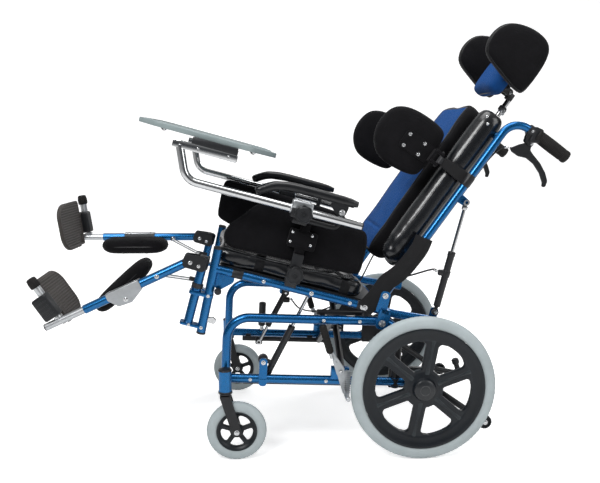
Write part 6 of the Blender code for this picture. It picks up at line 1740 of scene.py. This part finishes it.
def side_pads():
    for side, word in SIDES:
        low, high = sided(side, 0.1712, 0.211)
        middle = (low + high) / 2

        def held(point, middle=middle):
            p = IN_BACK(point)
            return abs(p.x - middle) < 0.003 and held_edge(TRUNK, p.y, p.z, 0.0045)
        stuff("trunk_pad_" + word + "_cover", "trunk_pad_" + word,
            [cushion_form(BACK, TRUNK, low, high, edge=0.017, crown=0.0015)], 0.005, held, 0.0038,
            materials=[CLOTH], stands_for=("trunk_pad_" + word,), fill=0.75)
        low, high = sided(side, 0.1135, 0.152)
        middle = (low + high) / 2

        def wing_held(point, middle=middle):
            p = IN_BACK(point)
            return abs(p.x - middle) < 0.003 and held_edge(WING, p.y, p.z, 0.0045)

        def rim(polygon):
            return 1 if abs((BACK.to_3x3().inverted() @ polygon.normal).x) < 0.62 else 0
        stuff("head_wing_" + word + "_cover", "head_wing_" + word,
            [cushion_form(BACK, WING, low, high, edge=0.019, crown=0.003)], 0.005, wing_held, 0.0048,
            materials=[CLOTH, MESH], pick=rim, stands_for=("head_wing_" + word,), fill=0.75)
        pad_frame, lift, outline = calf_frame(side), CALF_LIFT[side], calf_outline(side)
        inside = local(pad_frame)

        def calf_held(point, inside=inside, outline=outline, lift=lift):
            p = inside(point)
            return abs(p.z - lift) < 0.003 and held_edge(outline, p.x, p.y, 0.0045)
        stuff("calf_pad_" + word + "_cover", "calf_pad_" + word,
            [cushion_form(pad_frame, outline, lift - 0.0205, lift + 0.0205, axis="Z", edge=0.024,
            crown=0.003)], 0.005, calf_held, 0.004, materials=[CLOTH], stands_for=("calf_pad_" + word,),
            fill=0.75)
    stuff("head_pad_cover", "head_pad", [cushion_form(BACK, HEAD, 0.0235, 0.072, axis="Z", edge=0.018,
        crown=0.003)], 0.005, lambda point: abs(IN_BACK(point).z - HEAD_PAD_T) < 0.003, 0.0045,
        materials=[CLOTH, BLUE_CLOTH], pick=lambda polygon: 1 if IN_BACK(polygon.center).z > 0.03 else 0,
        stands_for=("head_pad",), fill=0.75)


def around(name, rides_like, frame, outline, level, axis, radius, material, made):
    """Piping round a pad's edge, laid on the pad from outside."""
    matrix = frame @ LATERAL if axis == "X" else frame
    loop = [matrix @ Vector((p.x, p.y, level)) for p in outline_loop(outline, 6)]
    centre = sum(loop, Vector()) / len(loop)
    laid = []
    for point in loop:
        way = (point - centre).normalized()
        hit, place, _, _ = made.ray_cast(point + way * 0.06, -way)
        laid.append(place - way * radius * 0.35 if hit else point)
    add(name, rides_like, [tube(WORLD, smoothed(laid, 3), radius, 0, 10, closed=True)], material)


def border(frame, half, low, high, level, bend, step):
    """World points round a rectangle over a pad, at most 8 mm apart."""
    loop = [frame @ Vector((p.x, p.y, level))
        for p in rounded([(-half, low, 0), (half, low, 0), (half, high, 0), (-half, high, 0)], bend,
        closed=True, step=radians(step))]
    dense = []
    for a, b in zip(loop, loop[1:] + loop[:1]):
        steps = max(1, int((b - a).length / 0.008))
        dense += [a.lerp(b, k / steps) for k in range(steps)]
    return dense


def pad_trims(pads):
    """Piping, stitching and straps on the seat cushion, and piping round the side guards."""
    up_seat = up_of(SEAT)
    seat = pads["seat_cushion_cover"]
    over, middle = 0.09, -0.277
    dense = border(SEAT, 0.198, SEAT_FRONT, SEAT_REAR, over, 0.035, 6)
    piping("seat_cushion_piping", "seat_cushion", seat, dense, up_seat, 0.0024)
    inner = [SEAT @ Vector((IN_SEAT(p).x * 0.965, middle + (IN_SEAT(p).y - middle) * 0.965, over))
        for p in dense]
    threads = stitches(smoothed(traced(seat, inner, up_seat, 0.0001), 1), True)
    add("seat_cushion_stitches", "seat_cushion", threads, PIPING)
    # Stitched strip along the near and far side of the cushion, below the guard
    for side, word in SIDES:
        across = up_of(SEAT, (side, 0, 0))
        strip = [SEAT @ Vector((side * 0.215, -0.262 + 0.006 * k, 0.08 + 0.0006 * k)) for k in range(26)]
        laid = smoothed(traced(seat, strip, across, -0.0003), 2, False)
        band = strap(laid, 0.0085, 0.001, up_seat)
        zig = []
        for k, point in enumerate(laid[:-1]):
            for part in range(2):
                a = point.lerp(laid[k + 1], part / 2)
                b = point.lerp(laid[k + 1], (part + 1) / 2)
                lean = 0.0028 if part % 2 else -0.0028
                zig.append(sweep([a + across * 0.0008 - up_seat * lean, b + across * 0.0008
                    + up_seat * lean], circle(0.00055, 6)))
        add("seat_strip_" + word, "seat_cushion", [band], WEBBING)
        add("seat_strip_stitch_" + word, "seat_cushion", zig, PIPING)
        for u in (0.364, 0.118):
            wrap = [SEAT @ Vector((side * 0.215, -u, 0.098 - 0.0035 * k)) for k in range(16)]
            laid = smoothed(traced(seat, wrap, across, -0.0008), 2, False)
            add("seat_band_" + word + str(int(u * 1000)), "seat_cushion",
                [strap(laid, 0.026, 0.0014, up_of(SEAT, (0, 1, 0)))], WEBBING)
        guard = pads["side_guard_" + word + "_cover"]
        around("side_guard_" + word + "_piping", "side_guard_" + word, SEAT, GUARD[side], side * GUARD_X,
            "X", 0.0018, CLOTH, guard)


def trim_trunk_and_head(pads):
    for side, word in SIDES:
        name = "trunk_pad_" + word
        pad = pads[name + "_cover"]
        around(name + "_piping", name, BACK, TRUNK, side * 0.1911, "X", 0.002, SMOOTH_LEATHER, pad)
        low, high = sided(side, 0.213, 0.2182)
        hinge_x, hinge_t = TRUNK_HINGE
        hard = [
            plate(BACK, [(0.358, 0.118), (0.408, 0.118), (0.41, 0.212), (0.354, 0.212)], low, high,
                bend=0.012, bevel=0.0014),
            box(BACK, (side * 0.229, TRUNK_S, 0.119), (0.0265, 0.04, 0.008), bevel=0.0025),
        ]
        for s in (TRUNK_S - 0.0155, TRUNK_S + 0.0155):
            hard += [
                tube(BACK, [(side * hinge_x, s - 0.0045, hinge_t), (side * hinge_x, s + 0.0045, hinge_t)],
                    0.007, 0, 24),
                box(BACK, (side * hinge_x, s, 0.1095), (0.013, 0.0088, 0.02), bevel=0.002),
            ]
        add(name + "_plate", name, hard, CLOTH)
        fix = [side_bolt(BACK, side, 0.218, s, t, 0.0046, 0.0028)
            for s, t in ((0.3984, 0.2006), (0.3638, 0.1979), (0.4007, 0.1521), (0.3671, 0.1502))]
        add(name + "_screws", name, fix, BRIGHT)
        name = "head_wing_" + word
        pad = pads[name + "_cover"]
        for level in (0.1215, 0.144):
            around(name + "_seam_" + str(int(level * 10000)), name, BACK, WING, side * level, "X", 0.0014,
                SMOOTH_LEATHER, pad)
        hard = [tube(BACK, [(side * WING_HINGE_X, 0.697, WING_HINGE_T), (side * WING_HINGE_X, 0.733,
            WING_HINGE_T)], 0.0025, 0, 18)]
        add(name + "_pin", name, hard, BRIGHT)
        blocks = [box(BACK, (side * 0.11, s, 0.012), (0.019, 0.008, 0.009), bevel=0.002)
            for s in (0.7005, 0.7295)]
        blocks += [tube(BACK, [(side * WING_HINGE_X, s - 0.004, WING_HINGE_T),
            (side * WING_HINGE_X, s + 0.004, WING_HINGE_T)], 0.0054, 0, 24) for s in (0.7005, 0.7295)]
        add(name + "_hinge", name, blocks, PLASTIC)
    name = "head_pad"
    pad = pads["head_pad_cover"]
    around("head_pad_piping", name, BACK, HEAD, HEAD_PAD_T, "Z", 0.0016, SMOOTH_LEATHER, pad)
    hard = [box(BACK, (0, 0.715, 0.0172), (0.15, 0.05, 0.0076), bevel=0.0025)]
    for x in (-0.013, 0.013):
        hard.append(plate(BACK, [(0.69, -0.019), (0.712, -0.019), (0.712, 0.018), (0.69, 0.018)], x - 0.0028,
            x + 0.0028, bend=[0.01, 0.01, 0.001, 0.001], bevel=0.0008))
    for side, _ in SIDES:
        hard += [
            box(BACK, (side * 0.0868, 0.715, 0.012), (0.0335, 0.02, 0.006), bevel=0.0018),
            tube(BACK, [(side * WING_HINGE_X, 0.7055, WING_HINGE_T), (side * WING_HINGE_X, 0.7245,
                WING_HINGE_T)], 0.0054, 0, 24),
        ]
    add("head_pad_bracket", name, hard, PLASTIC)
    fix = [bolt(BACK, (x, 0.715, 0.0134), (0, 0, -1), 0.0036, 0.0022) for x in (-0.06, -0.035, 0.035, 0.06)]
    add("head_pad_screws", name, fix, BRIGHT)


def head_stem():
    bar = [
        tube(BACK, [(0, 0.5, STEM_T), (0, 0.7, STEM_T)], 0.008, 0, 32),
        pin(BACK, -0.019, 0.019, 0.7, -0.01, 0.0044, 20),
    ]
    add("head_stem_rod", "head_stem", bar, CHROME, "head_stem")
    black = [
        box(BACK, (0, 0.694, -0.02), (0.0178, 0.024, 0.022), bevel=0.003),
        turn_about(facing(BACK, (-0.008, 0.7, -0.01), (1, 0, 0)),
            [(0.0045, 0), (0.0082, 0), (0.0089, 0.0008), (0.0089, 0.0152), (0.0082, 0.016), (0.0045, 0.016)],
            30, True),
        ring_band(BACK, (0, 0.652, STEM_T), (0, 1, 0), 0.0079, 0.014, 0.0042),
    ]
    for k in range(5):
        s = 0.616 + 0.006 * k
        black.append(ring_band(BACK, (0, s, STEM_T), (0, 1, 0), 0.0078, 0.0012, 0.0005, 24))
    add("head_stem_collar", "head_stem", black, PLASTIC)
    lever = [
        tube(BACK, [(0.004, 0.65, STEM_T), (0.03, 0.642, STEM_T), (0.04, 0.63, STEM_T)], 0.0044, 0.006, 20),
        bolt(BACK, (0, 0.652, STEM_T - 0.0118), (0, 0, -1), 0.004, 0.0026),
    ]
    add("head_stem_lever", "head_stem", lever, SILVER)


def calf_hardware(side, word):
    name = "calf_pad_" + word
    frame_here, lift = calf_frame(side), CALF_LIFT[side]
    inward = -side
    bar = [
        pin(frame_here, inward * 0.0335, inward * 0.061, 0, 0, 0.0104, 28),
        ring_band(frame_here, (inward * 0.042, 0, 0), (1, 0, 0), 0.01, 0.004, 0.0012),
    ]
    middle = inward * (LEG_X - 0.151)
    bar.append(box(frame_here, (middle, 0, lift - 0.0195), (0.07, 0.11, 0.006), bevel=0.0025))
    add(name + "_bracket", name, bar, SATIN)
    fix = [bolt(frame_here, (middle + dx, dy, lift - 0.0222), (0, 0, -1), 0.0044, 0.0028)
        for dx in (-0.022, 0.022) for dy in (-0.036, 0.036)]
    add(name + "_screws", name, fix, BRIGHT)


def trim_calf(pads):
    for side, word in SIDES:
        name = "calf_pad_" + word
        around(name + "_piping", name, calf_frame(side), calf_outline(side), CALF_LIFT[side], "Z", 0.0016,
            SMOOTH_LEATHER, pads[name + "_cover"])


def trim_back(pads):
    face = up_of(BACK)
    piping("back_middle_piping", "back_cushion", pads["back_middle_cushion"],
        border(BACK, FACE_HALF, FACE_LOW, FACE_HIGH, 0.1, 0.008, 8), face, 0.0022)
    for side, word in SIDES:
        across = up_of(BACK, (side, 0, 0))
        roll = pads["back_roll_" + word]
        seam = [BACK @ Vector((side * 0.26, 0.1 + 0.008 * k, 0.052)) for k in range(59)]
        laid = smoothed(traced(roll, seam, across, 0.0004), 3, False)
        add("back_roll_" + word + "_seam", "back_cushion", [tube(WORLD, laid, 0.0013, 0, 8)], SMOOTH_LEATHER)
        centre = BACK @ Vector((side * ROLL_X, ROLL_STRAP_S, ROLL_T))
        laid = []
        for a in [radians(-48 + 9 * k) for k in range(23)]:
            point = BACK @ Vector((side * (ROLL_X + 0.08 * cos(a)), ROLL_STRAP_S, ROLL_T + 0.08 * sin(a)))
            way = (point - centre).normalized()
            hit, place, _, _ = roll.ray_cast(point, -way)
            laid.append(place + way * 0.0006 if hit else point)
        add("back_roll_" + word + "_strap", "back_cushion",
            [strap(smoothed(laid, 2, False), 0.044, 0.0015, up_of(BACK, (0, 1, 0)))], WEBBING)
        fix = []
        for s, t in ((0.56, 0.056), (0.544, 0.044)):
            spot = traced(roll, [BACK @ Vector((side * 0.26, s, t))], across, 0.0002)[0]
            fix.append(turn_about(facing(WORLD, spot, across), [(0, 0.002), (0.0024, 0.0018), (0.004, 0.001),
                (0.0045, 0.0001), (0.0045, -0.0015)], 24))
        add("back_roll_" + word + "_snaps", "back_cushion", fix, BRIGHT)
    seams = []
    for x in (-0.15, 0.15):
        line = [BACK @ Vector((x, 0.092 + 0.01 * k, -0.05)) for k in range(50)]
        laid = smoothed(traced(pads["back_sling"], line, -face, 0.0001), 1, False)
        seams += stitches(laid)
    add("back_sling_stitches", "back_cushion", seams, PIPING)


def lap_belts():
    """Pelvic belt webbing from the seat rail up the side of the back."""
    for side, word in SIDES:
        x = side * 0.2555
        seat_part = [(x, -0.058, 0.027), (x, -0.046, 0.046), (x, -0.034, 0.07)]
        back_part = [(x, 0.03, 0.02), (x, 0.055, 0.012), (x, 0.085, 0.004), (x, 0.125, 0.001),
            (x, 0.16, 0.001), (x, 0.192, 0.008)]
        route = smooth_route([SEAT @ Vector(p) for p in seat_part] + [BACK @ Vector(p) for p in back_part],
            8)
        made = faced(joined("lap_belt_" + word, [strap(route, 0.05, 0.0022, out=Vector((side, 0, 0)))]),
            WEBBING, 40)
        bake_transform(made)
        anchor = [
            plate(SEAT, [(-0.07, 0.022), (-0.044, 0.022), (-0.044, 0.052), (-0.07, 0.052)],
                *sorted((x - side * 0.003, x - side * 0.001)), bend=0.006),
            bolt(SEAT, (x + side * 0.0012, -0.057, 0.03), (side, 0, 0), 0.0058, 0.0034),
        ]
        add("lap_belt_" + word + "_anchor", "seat_frame", anchor, BRIGHT)


# Cables

def bowden(name, cad_node, points, radius):
    """Outer cable as a curve along the CAD cable's route."""
    data = bpy.data.curves.new(name, "CURVE")
    data.dimensions = "3D"
    spline = data.splines.new("POLY")
    spline.points.add(len(points) - 1)
    for slot, point in zip(spline.points, points):
        slot.co = (*point, 1)
    data.bevel_depth = radius
    data.bevel_resolution = 4
    data.use_fill_caps = True
    made = bpy.data.objects.new(name, data)
    bpy.context.scene.collection.objects.link(made)
    data.materials.append(SHEATH)
    carried(made, cad_node)
    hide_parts(cad_node)
    ends = []
    for i, j in ((0, 1), (len(points) - 1, len(points) - 2)):
        way = (points[j] - points[i]).normalized()
        ends.append(turn_about(facing(WORLD, points[i] + way * 0.0005, way),
            [(0, 0), (0.003, 0), (0.0036, 0.0006), (0.0036, 0.01), (0.003, 0.011), (0.0026, 0.0112),
            (0, 0.0112)], 20))
    add(name + "_ferrules", cad_node, ends, BRIGHT)


def cables():
    x = SEAT_X - 0.006
    foot = SEAT @ Vector((SEAT_X, *RECLINE_FOOT))
    head = BACK @ Vector((SEAT_X, *RECLINE_HEAD))
    up = (head - foot).normalized()
    rear = Vector((0, up.z, -up.y))
    release = BACK.inverted() @ (foot + up * 0.112 - rear * 0.0257)
    route = [release, release + Vector((0, -0.004, 0.016)), (x - 0.016, 0.07, -0.0175),
        (x - 0.018, 0.12, -0.0175), (x - 0.018, 0.22, -0.0175), (x - 0.018, 0.33, -0.0175),
        (x - 0.016, 0.43, -0.0175), (x - 0.011, 0.48, -0.018), (x - 0.002, 0.513, -0.024),
        (x + 0.006, 0.5262, -0.0375)]
    bowden("recline_cable_sheath", "recline_cable", [BACK @ p for p in smooth_route(route, 8)], 0.0025)
    x = -SEAT_X
    head = SEAT @ Vector((-RIGHT_STRUT_X, -RIGHT_HEAD[0], RIGHT_HEAD[1]))
    route = [BACK.inverted() @ (Matrix.Translation((0, head.y, head.z)) @ Vector(p))
        for p in [(-0.2, 0.016, -0.02), (-0.2, 0.05, -0.056), (-0.203, 0.115, -0.064),
        (-0.211, 0.195, -0.03), (-0.218, 0.248, 0.025)]]
    route += [(x + 0.02, 0.06, -0.02), (x + 0.018, 0.15, -0.0175), (x + 0.018, 0.26, -0.0175),
        (x + 0.018, 0.37, -0.0175), (x + 0.016, 0.43, -0.0175), (x + 0.011, 0.48, -0.018),
        (x + 0.004, 0.513, -0.024), (x, 0.5262, -0.0375)]
    bowden("tilt_cable_sheath", "tilt_cable", [BACK @ p for p in smooth_route(route, 8)], 0.0025)


# Stage

def stage():
    """Pale floor that bends up into a wall behind the chair."""
    mesh = bpy.data.meshes.new("studio_floor")
    sweep_radius, depth = 1.6, -2.6
    bend = [(depth - sweep_radius * sin(a), sweep_radius - sweep_radius * cos(a))
        for a in [radians(90 * k / 12) for k in range(13)]]
    profile = [(9.0, 0.0)] + bend + [(-4.2, 7.0)]
    points = [(x, y, z) for y in (-9.0, 9.0) for x, z in profile]
    count = len(profile)
    faces = [(k, k + 1, count + k + 1, count + k) for k in range(count - 1)]
    mesh.from_pydata(points, [], faces)
    mesh.shade_smooth()
    floor = bpy.data.objects.new("studio_floor", mesh)
    bpy.context.scene.collection.objects.link(floor)
    made, tree, shader = blank("pale_studio_sweep")
    link = tree.links.new
    coords = node(tree, "ShaderNodeTexCoord").outputs["Object"]
    cloud = node(tree, "ShaderNodeTexNoise", in_Scale=1.5, in_Detail=3.0)
    link(coords, cloud.inputs["Vector"])
    tone = node(tree, "ShaderNodeMapRange", in_To_Min=0.885, in_To_Max=0.905)
    link(cloud.outputs["Fac"], tone.inputs["Value"])
    blend = node(tree, "ShaderNodeCombineColor")
    for channel in ("Red", "Green", "Blue"):
        link(tone.outputs["Result"], blend.inputs[channel])
    link(blend.outputs["Color"], shader.inputs["Base Color"])
    shader.inputs["Roughness"].default_value = 0.85
    shader.inputs["Emission Color"].default_value = (1, 1, 1, 1)
    path = node(tree, "ShaderNodeLightPath")
    glow = node(tree, "ShaderNodeMath", operation="MULTIPLY")
    link(path.outputs["Is Camera Ray"], glow.inputs[0])
    glow.inputs[1].default_value = 0.55
    link(glow.outputs[0], shader.inputs["Emission Strength"])
    mesh.materials.append(made)


def lamp(name, place, target, size, power):
    data = bpy.data.lights.new(name, "AREA")
    data.shape = "RECTANGLE"
    data.size, data.size_y = size
    data.energy = power
    made = bpy.data.objects.new(name, data)
    made.location = place
    made.rotation_euler = (Vector(place) - Vector(target)).to_track_quat("Z", "Y").to_euler()
    bpy.context.scene.collection.objects.link(made)


def light_and_camera():
    world = bpy.data.worlds.new("studio_air")
    bpy.context.scene.world = world
    world.use_nodes = True
    tree = world.node_tree
    shader = tree.nodes["Background"]
    sky = node(tree, "ShaderNodeTexCoord").outputs["Generated"]
    split = node(tree, "ShaderNodeSeparateXYZ")
    tree.links.new(sky, split.inputs["Vector"])
    ramp = node(tree, "ShaderNodeValToRGB")
    ramp.color_ramp.elements[0].position = 0.47
    ramp.color_ramp.elements[0].color = (0.4, 0.41, 0.43, 1)
    ramp.color_ramp.elements[1].position = 0.85
    ramp.color_ramp.elements[1].color = (1, 1, 1, 1)
    dusk = ramp.color_ramp.elements.new(0.56)
    dusk.color = (0.1, 0.11, 0.12, 1)
    height = node(tree, "ShaderNodeMapRange", in_From_Min=-1.0, in_From_Max=1.0)
    tree.links.new(split.outputs["Z"], height.inputs["Value"])
    tree.links.new(height.outputs["Result"], ramp.inputs["Fac"])
    tree.links.new(ramp.outputs["Color"], shader.inputs["Color"])
    shader.inputs["Strength"].default_value = 0.42
    lamp("key_panel", (2.6, -1.6, 2.9), (0, 0, 0.6), (1.5, 1.1), 70)
    lamp("fill_panel", (2.2, 2.6, 1.7), (0, 0.1, 0.6), (1.3, 1.6), 24)
    lamp("top_panel", (0.3, 0.0, 3.2), (0, 0, 0.5), (2.2, 2.2), 62)
    lamp("rim_panel", (-2.2, 1.8, 2.2), (0, 0.1, 0.7), (1.0, 1.4), 24)
    view = bpy.context.scene.view_settings
    view.view_transform = "Standard"
    # The photograph's camera, solved from pairs of left and right features
    data = bpy.data.cameras.new("main_camera")
    data.lens = 44.93
    data.sensor_width = 36
    camera = bpy.data.objects.new("main_camera", data)
    across = Vector((0.0784, 0.9969, -0.001)).normalized()
    behind = Vector((0.9868, -0.0775, 0.1419)).normalized()
    rise = behind.cross(across).normalized()
    across = rise.cross(behind)
    matrix = Matrix((across, rise, behind)).transposed().to_4x4()
    matrix.translation = (2.2482, -0.156, 0.885)
    camera.matrix_world = matrix
    bpy.context.scene.collection.objects.link(camera)
    bpy.context.scene.camera = camera


# The chair

light_and_camera()
cables()
stage()
for side, word in SIDES:
    for build in (base_frame, rear_wheel, caster, wheel_lock, anti_tip_wheel, recline_strut, arm_support,
            armrest_pad, leg, footplate, push_grip, hand_lever, calf_hardware):
        build(side, word)
for build in (cross_brace, left_tilt_strut, right_tilt_strut, seat_frame, tray, back_frame, head_stem,
        seat_pads, back_pads, side_pads):
    build()
PADS = {pad.name: pad for pad in settle()}
for trim in (pad_trims, trim_trunk_and_head, trim_calf, trim_back):
    trim(PADS)
lap_belts()
